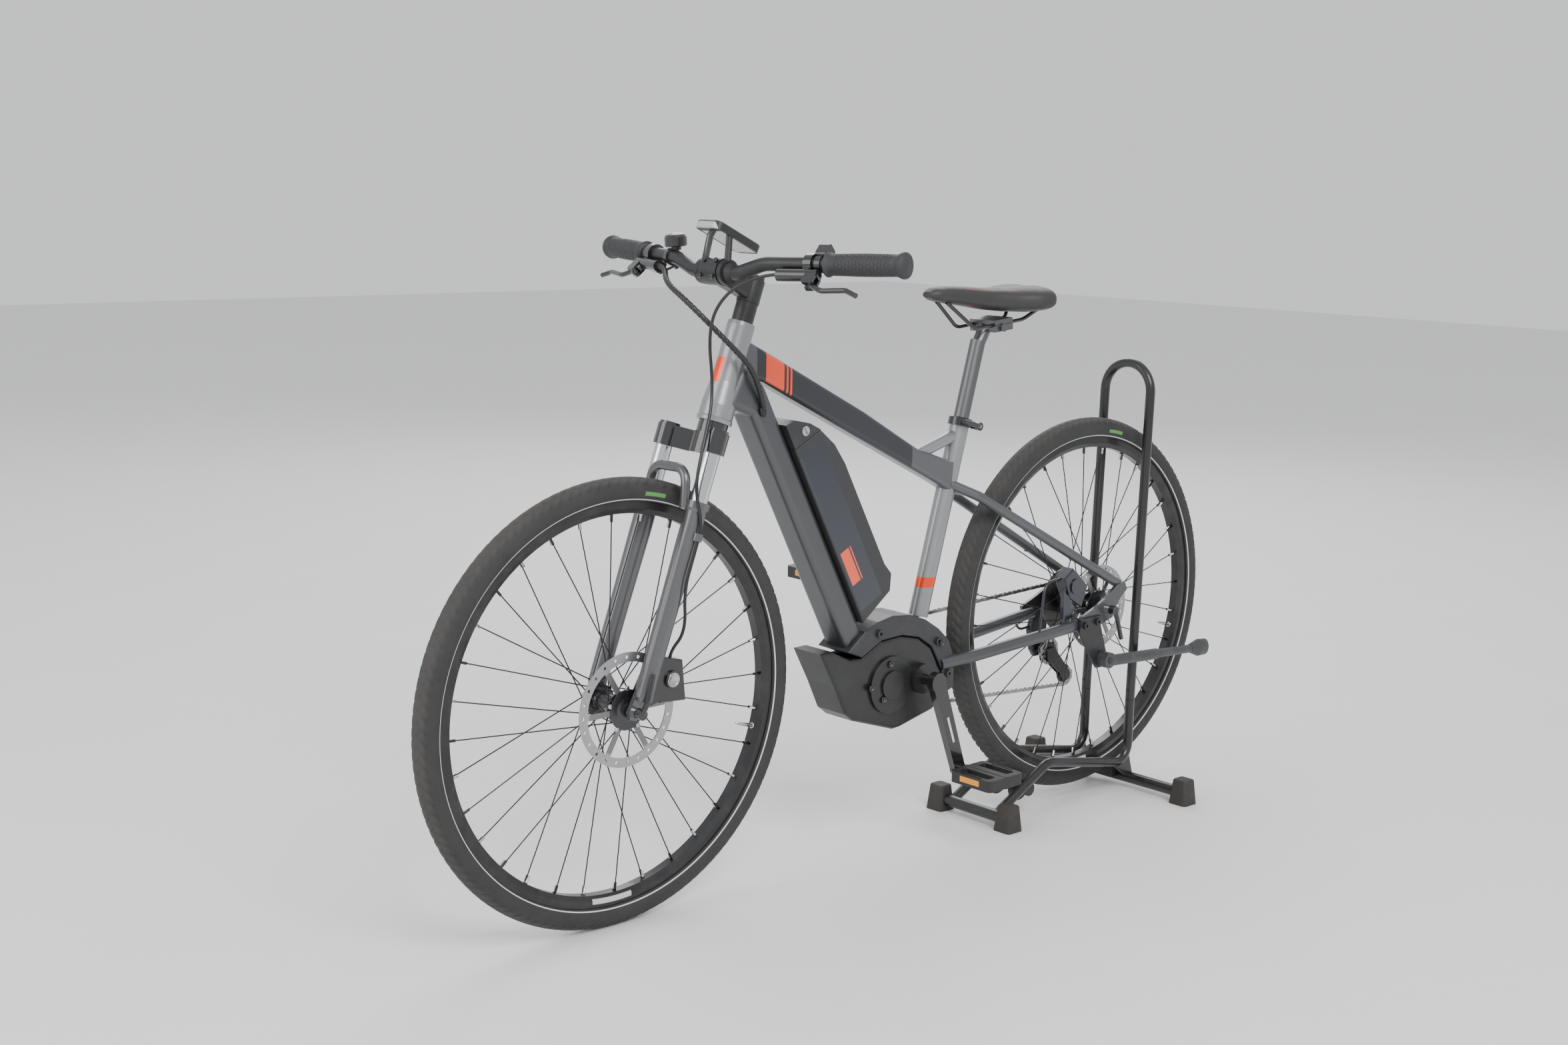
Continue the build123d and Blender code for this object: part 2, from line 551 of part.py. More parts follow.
with BuildPart() as rear_caliper:
    # two halves astride the rotor, a bridge over its edge and a foot on the stay
    plate([(46, 402), (88, 440), (112, 424), (96, 384), (62, 362)], REAR_ROTOR_Y - 14, REAR_ROTOR_Y + 13)
    soften(rear_caliper, 3)
    disc(0, 353, REAR_ROTOR_RADIUS + 1.5, REAR_ROTOR_Y - 2, REAR_ROTOR_Y + 2, mode=Mode.SUBTRACT)
    disc(82, 406, 14, REAR_ROTOR_Y + 12, REAR_ROTOR_Y + 16)
    plate([(92, 384), (112, 400), (112, 342), (86, 348)], REAR_ROTOR_Y + 3, REAR_ROTOR_Y + 11)
    bent([at(104, REAR_ROTOR_Y, 422), at(150, REAR_ROTOR_Y - 2, 420), at(176, REAR_ROTOR_Y + 9, 326)],
            [26], 2.5)
    add(chain_stays.part, mode=Mode.SUBTRACT)
    add(seat_stays.part, mode=Mode.SUBTRACT)
rear_caliper.part.label = "rear_caliper"
export_step(rear_caliper.part, "parts/rear_caliper.step")

# ---------------------------------------------------------------- drivetrain
def pitch_radius(teeth):
    """Radius of the chain's centre line round a toothed wheel."""
    return CHAIN_PITCH / (2 * sin(pi / teeth))


RING_RADIUS = pitch_radius(CHAINRING_TEETH)
COG_RADIUS = pitch_radius(COG_TEETH[COG_IN_USE])
JOCKEY_RADIUS = pitch_radius(JOCKEY_TEETH)
CHAIN_SEAT = CHAIN_HEIGHT / 2 + 0.1
# wheels in the order the chain meets them, with +1 where it runs clockwise seen from the left
CHAIN_WHEELS = [
    (0.0, TYRE_RADIUS, COG_RADIUS, 1),
    (CRANK_AXLE[0], CRANK_AXLE[1], RING_RADIUS, 1),
    (LOWER_JOCKEY[0], LOWER_JOCKEY[1], JOCKEY_RADIUS, 1),
    (UPPER_JOCKEY[0], UPPER_JOCKEY[1], JOCKEY_RADIUS, -1),
]


def tangent(first, second):
    """Where the straight run between two of the chain's wheels leaves one and meets the other."""
    dx = second[0] - first[0]
    dz = second[1] - first[1]
    span = sqrt(dx * dx + dz * dz)
    offset_1 = first[3] * first[2]
    offset_2 = second[3] * second[2]
    rise = asin((offset_1 - offset_2) / span)
    # unit direction of the centre line, turned by the rise
    ux = (dx * cos(rise) + dz * sin(rise)) / span
    uz = (dz * cos(rise) - dx * sin(rise)) / span
    return (first[0] - uz * offset_1, first[1] + ux * offset_1), (second[0] - uz * offset_2,
            second[1] + ux * offset_2)


CHAIN_RUNS = [tangent(CHAIN_WHEELS[i], CHAIN_WHEELS[(i + 1) % 4]) for i in range(4)]



def wrap_middle(wheel, arrive, leave):
    """Middle point of the chain's arc round a wheel, taken the way it runs."""
    cx, cz, radius, spin = wheel
    start = atan2(arrive[1] - cz, arrive[0] - cx)
    sweep_angle = (spin * (start - atan2(leave[1] - cz, leave[0] - cx))) % (2 * pi)
    middle = start - spin * sweep_angle / 2
    return (cx + radius * cos(middle), cz + radius * sin(middle))


# the loop the chain's centre line makes, filled, to be grown and shrunk into the band's two edges
with BuildSketch(side(CHAIN_Y + CHAIN_WIDTH / 2)) as chain_loop:
    with BuildLine():
        for i, wheel in enumerate(CHAIN_WHEELS):
            arrive = CHAIN_RUNS[i - 1][1]
            leave = CHAIN_RUNS[i][0]
            ThreePointArc(arrive, wrap_middle(wheel, arrive, leave), leave)
            Line(*CHAIN_RUNS[i])
    make_face()

with BuildPart() as chain:
    with BuildSketch(side(CHAIN_Y + CHAIN_WIDTH / 2)):
        offset(chain_loop.sketch_local, amount=CHAIN_HEIGHT / 2)
        offset(chain_loop.sketch_local, amount=-CHAIN_HEIGHT / 2, mode=Mode.SUBTRACT)
    extrude(amount=CHAIN_WIDTH)
chain.part.label = "chain"
export_step(chain.part, "parts/chain.step")

with BuildPart() as derailleur:
    # hanger bolt, parallelogram body and the knuckle that carries the cage
    plate([(34, 330), (14, 330), (-2, 300), (2, 252), (12, 238), (30, 238), (40, 252), (48, 292)],
          -PLATE_OUT - 15, -PLATE_OUT - 0.02)
    soften(derailleur, 5)
    disc(*UPPER_JOCKEY, 8, -PLATE_OUT - 1, CHAIN_Y - 6.6)
    disc(24, 320, 7, -PLATE_OUT - 19, -PLATE_OUT - 10)
    # short loop of gear cable housing up to the stay
    bent([at(30, -PLATE_OUT - 8, 300), at(74, -PLATE_OUT - 8, 296), at(96, -PLATE_OUT - 4, 328)], [22], 2.4)
derailleur.part.label = "derailleur"
export_step(derailleur.part, "parts/derailleur.step")

CAGE_GAP = 3.6               # from the chain's mid-plane to a cage plate

with BuildPart() as derailleur_cage:
    for low in (CHAIN_Y - CAGE_GAP - 2.4, CHAIN_Y + CAGE_GAP):
        plate([(UPPER_JOCKEY[0] - 11, UPPER_JOCKEY[1] + 6), (UPPER_JOCKEY[0] + 11, UPPER_JOCKEY[1] + 6),
               (UPPER_JOCKEY[0] + 8, UPPER_JOCKEY[1] - 16), (LOWER_JOCKEY[0] + 15, LOWER_JOCKEY[1] + 2),
               (LOWER_JOCKEY[0] + 8, LOWER_JOCKEY[1] - 13), (LOWER_JOCKEY[0] - 8, LOWER_JOCKEY[1] - 11),
               (LOWER_JOCKEY[0] - 12, LOWER_JOCKEY[1] + 4)], low, low + 2.4)
    for x, z in (UPPER_JOCKEY, LOWER_JOCKEY):
        disc(x, z, 3, CHAIN_Y - CAGE_GAP - 2.4, CHAIN_Y + CAGE_GAP + 2.4)
derailleur_cage.part.label = "derailleur_cage"
export_step(derailleur_cage.part, "parts/derailleur_cage.step")

with BuildPart() as jockey_upper:
    disc(*UPPER_JOCKEY, JOCKEY_RADIUS - CHAIN_SEAT, CHAIN_Y - 1.4, CHAIN_Y + 1.4)
    disc(*UPPER_JOCKEY, 8, CHAIN_Y - 3.3, CHAIN_Y + 3.3)
    disc(*UPPER_JOCKEY, 3.05, CHAIN_Y - 5, CHAIN_Y + 5, mode=Mode.SUBTRACT)
jockey_upper.part.label = "jockey_upper"
export_step(jockey_upper.part, "parts/jockey_upper.step")

with BuildPart() as jockey_lower:
    disc(*LOWER_JOCKEY, JOCKEY_RADIUS - CHAIN_SEAT, CHAIN_Y - 1.4, CHAIN_Y + 1.4)
    disc(*LOWER_JOCKEY, 8, CHAIN_Y - 3.3, CHAIN_Y + 3.3)
    disc(*LOWER_JOCKEY, 3.05, CHAIN_Y - 5, CHAIN_Y + 5, mode=Mode.SUBTRACT)
jockey_lower.part.label = "jockey_lower"
export_step(jockey_lower.part, "parts/jockey_lower.step")

ARM_INNER = 74.0
ARM_OUTER = 88.0
PEDAL_INNER = ARM_OUTER + 14
PEDAL_OUTER = 196.0
PEDAL_AXLES = []
for turn in (0, 180):
    angle = radians(CRANK_TURN + turn)
    PEDAL_AXLES.append((CRANK_AXLE[0] + CRANK_LENGTH * cos(angle), CRANK_AXLE[1] + CRANK_LENGTH * sin(angle)))

with BuildPart() as crankset:
    disc(*CRANK_AXLE, 9, -ARM_OUTER + 2, ARM_OUTER - 2)
    for hand, turn, pedal in ((1, 0, PEDAL_AXLES[0]), (-1, 180, PEDAL_AXLES[1])):
        low, high = sorted((hand * ARM_INNER, hand * ARM_OUTER))
        disc(*CRANK_AXLE, 17, low, high)
        disc(*pedal, 13, low, high)
        angle = radians(CRANK_TURN + turn)
        ax, az = CRANK_AXLE
        nx, nz = -sin(angle), cos(angle)
        plate([(ax + 15 * nx, az + 15 * nz), (pedal[0] + 12 * nx, pedal[1] + 12 * nz),
               (pedal[0] - 12 * nx, pedal[1] - 12 * nz), (ax - 15 * nx, az - 15 * nz)], low, high)
        inner, outer = sorted((hand * (ARM_OUTER - 1), hand * (PEDAL_OUTER - 6)))
        disc(*pedal, 5, inner, outer)
        inner, outer = sorted((hand * (ARM_OUTER - 1), hand * (PEDAL_INNER - 2)))
        disc(*pedal, 8, inner, outer)
    # right side: spider and chainring
    disc(*CRANK_AXLE, 20, -ARM_INNER - 1, CHAIN_Y - 1)
    with BuildSketch(side(CHAIN_Y + 1.4)):
        with Locations(CRANK_AXLE):
            Circle(RING_RADIUS - CHAIN_SEAT)
            Circle(RING_RADIUS - 19, mode=Mode.SUBTRACT)
            with PolarLocations(RING_RADIUS / 2, 4, start_angle=25):
                Rectangle(RING_RADIUS - 20, 17)
            Circle(22)
            Circle(8.5, mode=Mode.SUBTRACT)
    extrude(amount=2.8)
crankset.part.label = "crankset"
export_step(crankset.part, "parts/crankset.step")

for hand, pedal, name in ((1, PEDAL_AXLES[0], "pedal_left"), (-1, PEDAL_AXLES[1], "pedal_right")):
    middle = hand * (PEDAL_INNER + PEDAL_OUTER) / 2
    width = PEDAL_OUTER - PEDAL_INNER
    with BuildPart() as pedal_body:
        with BuildSketch(Plane(origin=at(pedal[0], middle, pedal[1]), x_dir=FORWARD, z_dir=UPWARD)):
            RectangleRounded(86, width, 9)
            with Locations((24, 0), (-24, 0)):
                RectangleRounded(20, width - 26, 4, mode=Mode.SUBTRACT)
            with Locations((-39, 0), (39, 0)):
                RectangleRounded(4, width - 44, 1.5, mode=Mode.SUBTRACT)
        extrude(amount=10, both=True)
        low, high = sorted((hand * (PEDAL_INNER - 1), hand * PEDAL_OUTER))
        disc(*pedal, 11, low, high)
        low, high = sorted((hand * (PEDAL_INNER - 4), hand * (PEDAL_OUTER - 5.5)))
        disc(*pedal, 5.05, low, high, mode=Mode.SUBTRACT)
    pedal_body.part.label = name
    export_step(pedal_body.part, f"parts/{name}.step")

# ---------------------------------------------------------------- wheels
FRONT_ROTOR_Y = 37.0
FRONT_ROTOR_RADIUS = 90.0
SPOKE_CROSS = 62.0           # degrees between a spoke's hub hole and its rim hole
RIM_BED = 298.0
# name, axle position, left and right flange, spoke hole circle, rotor plane and radius, hub profile
# (radius, y)
WHEELS = [
    ("rear", 0.0, 30.0, -20.0, 27.0, REAR_ROTOR_Y, REAR_ROTOR_RADIUS,
     [(5.1, -30), (16, -30), (16, -22), (28, -22), (28, -18), (18, -18), (17, -12), (15, 0), (17, 22), (18,
             28),
      (28, 28), (28, 32), (20, 32), (20, 49), (12, 52), (12, 60), (5.1, 60)]),
    ("front", WHEELBASE, 22.0, -32.0, 25.0, FRONT_ROTOR_Y, FRONT_ROTOR_RADIUS,
     [(5.1, -44), (11, -44), (11, -38), (13, -34), (26, -34), (26, -30), (17, -30), (15, -24), (14, 0),
             (15, 14),
      (17, 20), (26, 20), (26, 24), (20, 24), (20, 38), (12, 40), (11, 44), (5.1, 44)]),
]

for name, axle_x, left_flange, right_flange, hole_radius, rotor_y, rotor_radius, hub_profile in WHEELS:
    hub_plane = across(axle_x, TYRE_RADIUS)

    with BuildPart() as tyre:
        # hooked casing: outer round, bead seats, and the hollow for the air
        with BuildSketch(Plane(origin=hub_plane.origin, x_dir=UPWARD, z_dir=FORWARD * -1)):
            with BuildLine():
                Polyline((318, 15.7), (317.7, 9.3), (312, 9.3), (312, 6.5), (317.2, 6.5))
                ThreePointArc((317.2, 6.5), (349.5, 0), (317.2, -6.5))
                Polyline((317.2, -6.5), (312, -6.5), (312, -9.3), (317.7, -9.3), (318, -15.7))
                ThreePointArc((318, -15.7), (TYRE_RADIUS, 0), (318, 15.7))
            make_face()
        revolve(axis=Axis(hub_plane.origin, LEFT))
    tyre.part.label = f"{name}_tyre"
    export_step(tyre.part, f"parts/{name}_tyre.step")

    with BuildPart() as rim:
        half = RIM_WIDTH / 2
        turned(hub_plane, [(RIM_BED, -8), (306, -half), (RIM_RADIUS, -half), (RIM_RADIUS, -9.5), (311.6,
                -9.5), (311.6, 9.5),
                           (RIM_RADIUS, 9.5), (RIM_RADIUS, half), (306, half), (RIM_BED, 8)])
        turned(hub_plane, [(RIM_BED + 2, -7), (306.5, -half + 2), (309.6, -half + 2), (309.6, half - 2),
                (306.5, half - 2),
                           (RIM_BED + 2, 7)], mode=Mode.SUBTRACT)
    rim.part.label = f"{name}_rim"
    export_step(rim.part, f"parts/{name}_rim.step")

    with BuildPart() as hub:
        turned(hub_plane, hub_profile)
    hub.part.label = f"{name}_hub"
    export_step(hub.part, f"parts/{name}_hub.step")

    with BuildPart() as spokes:
        for i in range(SPOKES):
            # four spokes to a group: trailing left, trailing right, leading left, leading right
            group = i % 4
            on_left = group % 2 == 0
            lean = -1 if group < 2 else 1
            flange = left_flange if on_left else right_flange
            face = 2 + SPOKE_RADIUS + 0.4
            hub_y = flange + (face if lean > 0 else -face)
            rim_y = 2.5 if on_left else -2.5
            rim_angle = radians(360 / SPOKES * i)
            hub_angle = rim_angle + lean * radians(SPOKE_CROSS)
            root = at(axle_x + hole_radius * cos(hub_angle), hub_y,
                    TYRE_RADIUS + hole_radius * sin(hub_angle))
            tip_radius = RIM_BED - 0.4
            tip = at(axle_x + tip_radius * cos(rim_angle), rim_y, TYRE_RADIUS + tip_radius * sin(rim_angle))
            rod(root, tip, SPOKE_RADIUS)
            # nipple
            rod(tip + (root - tip).normalized() * 12, tip, 2.1)
    spokes.part.label = f"{name}_spokes"
    export_step(spokes.part, f"parts/{name}_spokes.step")

    with BuildPart() as rotor:
        with BuildSketch(side(rotor_y + ROTOR_THICK / 2)):
            with Locations((axle_x, TYRE_RADIUS)):
                Circle(rotor_radius)
                Circle(rotor_radius - 15, mode=Mode.SUBTRACT)
                with PolarLocations(rotor_radius / 2 - 1, 6):
                    Rectangle(rotor_radius - 22, 9)
                Circle(32)
                Circle(20.05, mode=Mode.SUBTRACT)
                with PolarLocations(rotor_radius - 7.5, 24):
                    Circle(2.8, mode=Mode.SUBTRACT)
        extrude(amount=ROTOR_THICK)
    rotor.part.label = f"{name}_rotor"
    export_step(rotor.part, f"parts/{name}_rotor.step")

with BuildPart() as cassette:
    disc(0, TYRE_RADIUS, 17, FIRST_COG_Y - 28.9, -31)
    for i, teeth in enumerate(COG_TEETH):
        cog_y = FIRST_COG_Y - i * COG_SPACING
        disc(0, TYRE_RADIUS, pitch_radius(teeth) - CHAIN_SEAT, cog_y - 0.9, cog_y + 0.9)
    disc(0, TYRE_RADIUS, 5.1, -70, -20, mode=Mode.SUBTRACT)
cassette.part.label = "cassette"
export_step(cassette.part, "parts/cassette.step")

# ---------------------------------------------------------------- axles
for name, x, half, plate_half in (("rear_axle", 0.0, REAR_HUB_HALF, PLATE_OUT),
                                  ("front_axle", WHEELBASE, FRONT_HUB_HALF, FRONT_HUB_HALF + 8)):
    with BuildPart() as axle:
        # fixed axle with its lock nuts, the skewer through it and the skewer's right-hand nut
        disc(x, TYRE_RADIUS, 5, -half, half)
        for hand in (1, -1):
            low, high = sorted((hand * (half - 2.4), hand * (half - 0.02)))
            disc(x, TYRE_RADIUS, 8, low, high)
        disc(x, TYRE_RADIUS, 2.5, -plate_half - 12, plate_half + 14)
        disc(x, TYRE_RADIUS, 7.5, -plate_half - 12, -plate_half - 0.02)
        disc(x, TYRE_RADIUS, 7.5, plate_half + 0.02, plate_half + 6)
    axle.part.label = name
    export_step(axle.part, f"parts/{name}.step")

# ---------------------------------------------------------------- fork
LEG_Y = FORK_LEG_SPACING / 2
AXLE_DROP = -470.1           # front axle below the head tube's foot, along the steering axis
STANCHION_RADIUS = 14.0
STEERER_RADIUS = 14.3

with BuildPart() as fork_crown:
    # steerer, forged crown and both stanchions
    rod(on(STEER, 0, 0, -50), on(STEER, 0, 0, HEAD_LENGTH + 76), STEERER_RADIUS)
    rod(on(STEER, 0, 0, -58), on(STEER, 0, 0, -HEADSET_LIP - 0.3), 24)
    with BuildSketch(STEER.offset(-60)):
        Circle(26)
        with Locations((FORK_LEG_OFFSET, LEG_Y), (FORK_LEG_OFFSET, -LEG_Y)):
            Circle(19)
        with BuildLine():
            Polyline((-22, 14), (FORK_LEG_OFFSET - 14, LEG_Y + 13), (FORK_LEG_OFFSET + 19, LEG_Y), (22, 16),
                     (22, -16), (FORK_LEG_OFFSET + 19, -LEG_Y), (FORK_LEG_OFFSET - 14, -LEG_Y - 13), (-22,
                             -14), close=True)
        make_face()
    extrude(amount=34)
    for hand in (1, -1):
        rod(on(STEER, FORK_LEG_OFFSET, hand * LEG_Y, -30), on(STEER, FORK_LEG_OFFSET, hand * LEG_Y, -22), 17)
        rod(on(STEER, FORK_LEG_OFFSET, hand * LEG_Y, -262), on(STEER, FORK_LEG_OFFSET, hand * LEG_Y, -50),
                STANCHION_RADIUS)
fork_crown.part.label = "fork_crown"
export_step(fork_crown.part, "parts/fork_crown.step")

LEG_TOP = -137.0
LEG_FOOT = -452.0
HOSE_RADIUS = 2.6
HOSE_X = FORK_LEG_OFFSET - 2  # front brake hose beside the left leg
HOSE_Y = LEG_Y + 21.8

with BuildPart() as fork_lowers:
    for hand in (1, -1):
        leg = Plane(origin=on(STEER, FORK_LEG_OFFSET, hand * LEG_Y, LEG_FOOT), x_dir=STEER.x_dir,
                z_dir=STEER.z_dir)
        turned(leg, [(0, 0), (12, 0), (15, 6), (15.5, 120), (17, 250), (17, 300), (18.5, 304), (18.5,
                LEG_TOP - LEG_FOOT),
                     (0, LEG_TOP - LEG_FOOT)])
        # dropout beneath the leg
        low, high = sorted((hand * FRONT_HUB_HALF, hand * (FRONT_HUB_HALF + 8)))
        ahead = on(STEER, FORK_LEG_OFFSET - 10, 0, LEG_FOOT + 18)
        with BuildSketch(Plane(origin=on(STEER, 0, high, 0), x_dir=STEER.x_dir, z_dir=(0, -1, 0))):
            with BuildLine():
                Polyline((FORK_LEG_OFFSET - 12, LEG_FOOT + 20), (FORK_LEG_OFFSET + 12, LEG_FOOT + 20),
                        (AXLE_OFFSET + 12, AXLE_DROP - 4),
                         (AXLE_OFFSET + 6, AXLE_DROP - 13), (AXLE_OFFSET - 6,
                                 AXLE_DROP - 13), (AXLE_OFFSET - 12, AXLE_DROP - 2), close=True)
            make_face()
        extrude(amount=high - low)
    # arch over the tyre
    arch = [(FORK_LEG_OFFSET + 14, LEG_Y - 12, LEG_TOP - 14), (FORK_LEG_OFFSET + 25, LEG_Y - 18,
            LEG_TOP + 44),
            (FORK_LEG_OFFSET + 25, -LEG_Y + 18, LEG_TOP + 44), (FORK_LEG_OFFSET + 14, -LEG_Y + 12,
                    LEG_TOP - 14)]
    bent([on(STEER, *p) for p in arch], [24, 24], 7.5)
    disc(WHEELBASE, TYRE_RADIUS, 5.2, -70, 70, mode=Mode.SUBTRACT)
    # hose clip on the left leg
    rod(on(STEER, HOSE_X, HOSE_Y - 4, -196), on(STEER, HOSE_X, HOSE_Y - 4, -184), 8)
    rod(on(STEER, HOSE_X, HOSE_Y, -200), on(STEER, HOSE_X, HOSE_Y, -180), HOSE_RADIUS + 0.05,
            mode=Mode.SUBTRACT)
    for hand in (1, -1):
        rod(on(STEER, FORK_LEG_OFFSET, hand * LEG_Y, -330), on(STEER, FORK_LEG_OFFSET, hand * LEG_Y,
                LEG_TOP + 60),
            STANCHION_RADIUS + 0.06, mode=Mode.SUBTRACT)
fork_lowers.part.label = "fork_lowers"
export_step(fork_lowers.part, "parts/fork_lowers.step")

with BuildPart() as front_caliper:
    plate([(1000, 352), (1006, 418), (1042, 428), (1058, 396), (1050, 356)], FRONT_ROTOR_Y - 12,
            FRONT_ROTOR_Y + 13)
    soften(front_caliper, 3)
    disc(WHEELBASE, TYRE_RADIUS, FRONT_ROTOR_RADIUS + 1.5, FRONT_ROTOR_Y - 2, FRONT_ROTOR_Y + 2,
            mode=Mode.SUBTRACT)
    disc(1028, 390, 14, FRONT_ROTOR_Y + 12, FRONT_ROTOR_Y + 17)
    # mounting foot to the leg's posts
    plate([(1040, 424), (1080, 412), (1090, 392), (1082, 352), (1050, 360), (1050, 400)],
            FRONT_ROTOR_Y + 5, FRONT_ROTOR_Y + 13)
    add(fork_lowers.part, mode=Mode.SUBTRACT)
front_caliper.part.label = "front_caliper"
export_step(front_caliper.part, "parts/front_caliper.step")

with BuildPart() as front_skewer_lever:
    # cam cap on the left, lever folded up
    disc(WHEELBASE, TYRE_RADIUS, 8.5, FRONT_HUB_HALF + 14.3, FRONT_HUB_HALF + 27)
    bent([at(WHEELBASE, FRONT_HUB_HALF + 24, TYRE_RADIUS), at(WHEELBASE - 4, FRONT_HUB_HALF + 32,
            TYRE_RADIUS + 18),
          at(WHEELBASE - 16, FRONT_HUB_HALF + 31, TYRE_RADIUS + 62)], [20], 4.5)
    disc(WHEELBASE, TYRE_RADIUS, 2.55, FRONT_HUB_HALF, FRONT_HUB_HALF + 22.05, mode=Mode.SUBTRACT)
front_skewer_lever.part.label = "front_skewer_lever"
export_step(front_skewer_lever.part, "parts/front_skewer_lever.step")

with BuildPart() as rear_skewer_lever:
    # cam cap on the left, lever hanging down behind the brake
    rear_face = REAR_HUB_HALF + DROPOUT_THICK
    disc(0, TYRE_RADIUS, 8.5, rear_face + 6.3, rear_face + 18)
    bent([at(0, rear_face + 14, TYRE_RADIUS), at(-6, rear_face + 17, TYRE_RADIUS - 16), at(-26,
            rear_face + 12, TYRE_RADIUS - 58)],
         [20], 4.5)
    disc(0, TYRE_RADIUS, 2.55, rear_face, rear_face + 14.05, mode=Mode.SUBTRACT)
rear_skewer_lever.part.label = "rear_skewer_lever"
export_step(rear_skewer_lever.part, "parts/rear_skewer_lever.step")

# ---------------------------------------------------------------- cockpit
STEM_LOW = 190.0
STEM_HIGH = 228.0
BAR_X = STEER.to_local_coords(at(BAR_CLAMP[0], 0, BAR_CLAMP[1])).X    # bar clamp ahead of the steering axis
BAR_H = STEER.to_local_coords(at(BAR_CLAMP[0], 0, BAR_CLAMP[1])).Z    # and along it
CLAMP_RADIUS = 15.9

with BuildPart() as stem:
    rod(on(STEER, 0, 0, STEM_LOW), on(STEER, 0, 0, STEM_HIGH), 18.5)
    with BuildSketch(Plane(origin=on(STEER, 14, 0, 209), x_dir=LEFT, z_dir=STEER.x_dir)):
        RectangleRounded(30, 32, 8)
    with BuildSketch(Plane(origin=on(STEER, BAR_X - 12, 0, 214), x_dir=LEFT, z_dir=STEER.x_dir)):
        RectangleRounded(38, 30, 8)
    loft()
    rod(on(STEER, BAR_X, -21, BAR_H), on(STEER, BAR_X, 21, BAR_H), 21)
    rod(on(STEER, 0, 0, STEM_LOW - 1), on(STEER, 0, 0, STEM_HIGH + 1), STEERER_RADIUS + 0.03,
            mode=Mode.SUBTRACT)
    rod(on(STEER, BAR_X, -30, BAR_H), on(STEER, BAR_X, 30, BAR_H), CLAMP_RADIUS + 0.03, mode=Mode.SUBTRACT)
    # spacers under the clamp and the top cap
    for low, high in ((HEAD_LENGTH + HEADSET_LIP + 0.3, 167), (167.1, 178), (178.1, STEM_LOW - 0.05)):
        with BuildSketch(STEER.offset(low)):
            Circle(17.5)
            Circle(STEERER_RADIUS + 0.03, mode=Mode.SUBTRACT)
        extrude(amount=high - low)
    rod(on(STEER, 0, 0, STEM_HIGH + 0.05), on(STEER, 0, 0, STEM_HIGH + 6), 16.5)
    rod(on(STEER, 0, 0, STEM_HIGH + 6), on(STEER, 0, 0, STEM_HIGH + 9), 5)
stem.part.label = "stem"
export_step(stem.part, "parts/stem.step")

BAR_BEND_Y = 52.0
BAR_SHOULDER = (889.0, 104.0, 1023.5)
BAR_LINE = at(*BAR_END) - at(*BAR_SHOULDER)

with BuildPart() as handlebar:
    ends = [(BAR_END[0], hand * BAR_END[1], BAR_END[2]) for hand in (1, -1)]
    shoulders = [(BAR_SHOULDER[0], hand * BAR_SHOULDER[1], BAR_SHOULDER[2]) for hand in (1, -1)]
    bar_points = [ends[0], shoulders[0], (BAR_CLAMP[0], BAR_BEND_Y, BAR_CLAMP[1]), (BAR_CLAMP[0],
            -BAR_BEND_Y, BAR_CLAMP[1]),
                  shoulders[1], ends[1]]
    bent([at(*p) for p in bar_points], [60, 50, 50, 60], BAR_RADIUS)
    middle = Plane(origin=at(BAR_CLAMP[0], 0, BAR_CLAMP[1]), x_dir=FORWARD, z_dir=LEFT)
    turned(middle, [(0, -44), (11.2, -44), (CLAMP_RADIUS, -36), (CLAMP_RADIUS, 36), (11.2, 44), (0, 44)])
handlebar.part.label = "handlebar"
export_step(handlebar.part, "parts/handlebar.step")


def bar_frame(hand, inboard):
    """Plane square to the bar, at a distance in from its end; the normal points out to the end."""
    out = toward(BAR_END[0] - BAR_SHOULDER[0], hand * (BAR_END[1] - BAR_SHOULDER[1]),
            BAR_END[2] - BAR_SHOULDER[2]).normalized()
    end = at(BAR_END[0], hand * BAR_END[1], BAR_END[2])
    down_forward = toward(0.74, 0, -0.67)
    ahead = (down_forward - out * down_forward.dot(out)).normalized()
    return Plane(origin=end - out * inboard, x_dir=ahead, z_dir=out)


GRIP_LENGTH = 132.0

with BuildPart() as grips:
    for hand in (1, -1):
        turned(bar_frame(hand, 0), [
            (0, 0.05), (0, 4), (19, 4), (20.5, 0), (19, -8), (16.5, -16), (16, -60), (17, -GRIP_LENGTH + 12),
            (19, -GRIP_LENGTH), (BAR_RADIUS + 0.03, -GRIP_LENGTH), (BAR_RADIUS + 0.03, 0.05),
        ])
grips.part.label = "grips"
export_step(grips.part, "parts/grips.step")

PERCH_IN = 162.0             # brake clamp, in from the bar's end
LEVER_PIVOT_X = 40.0

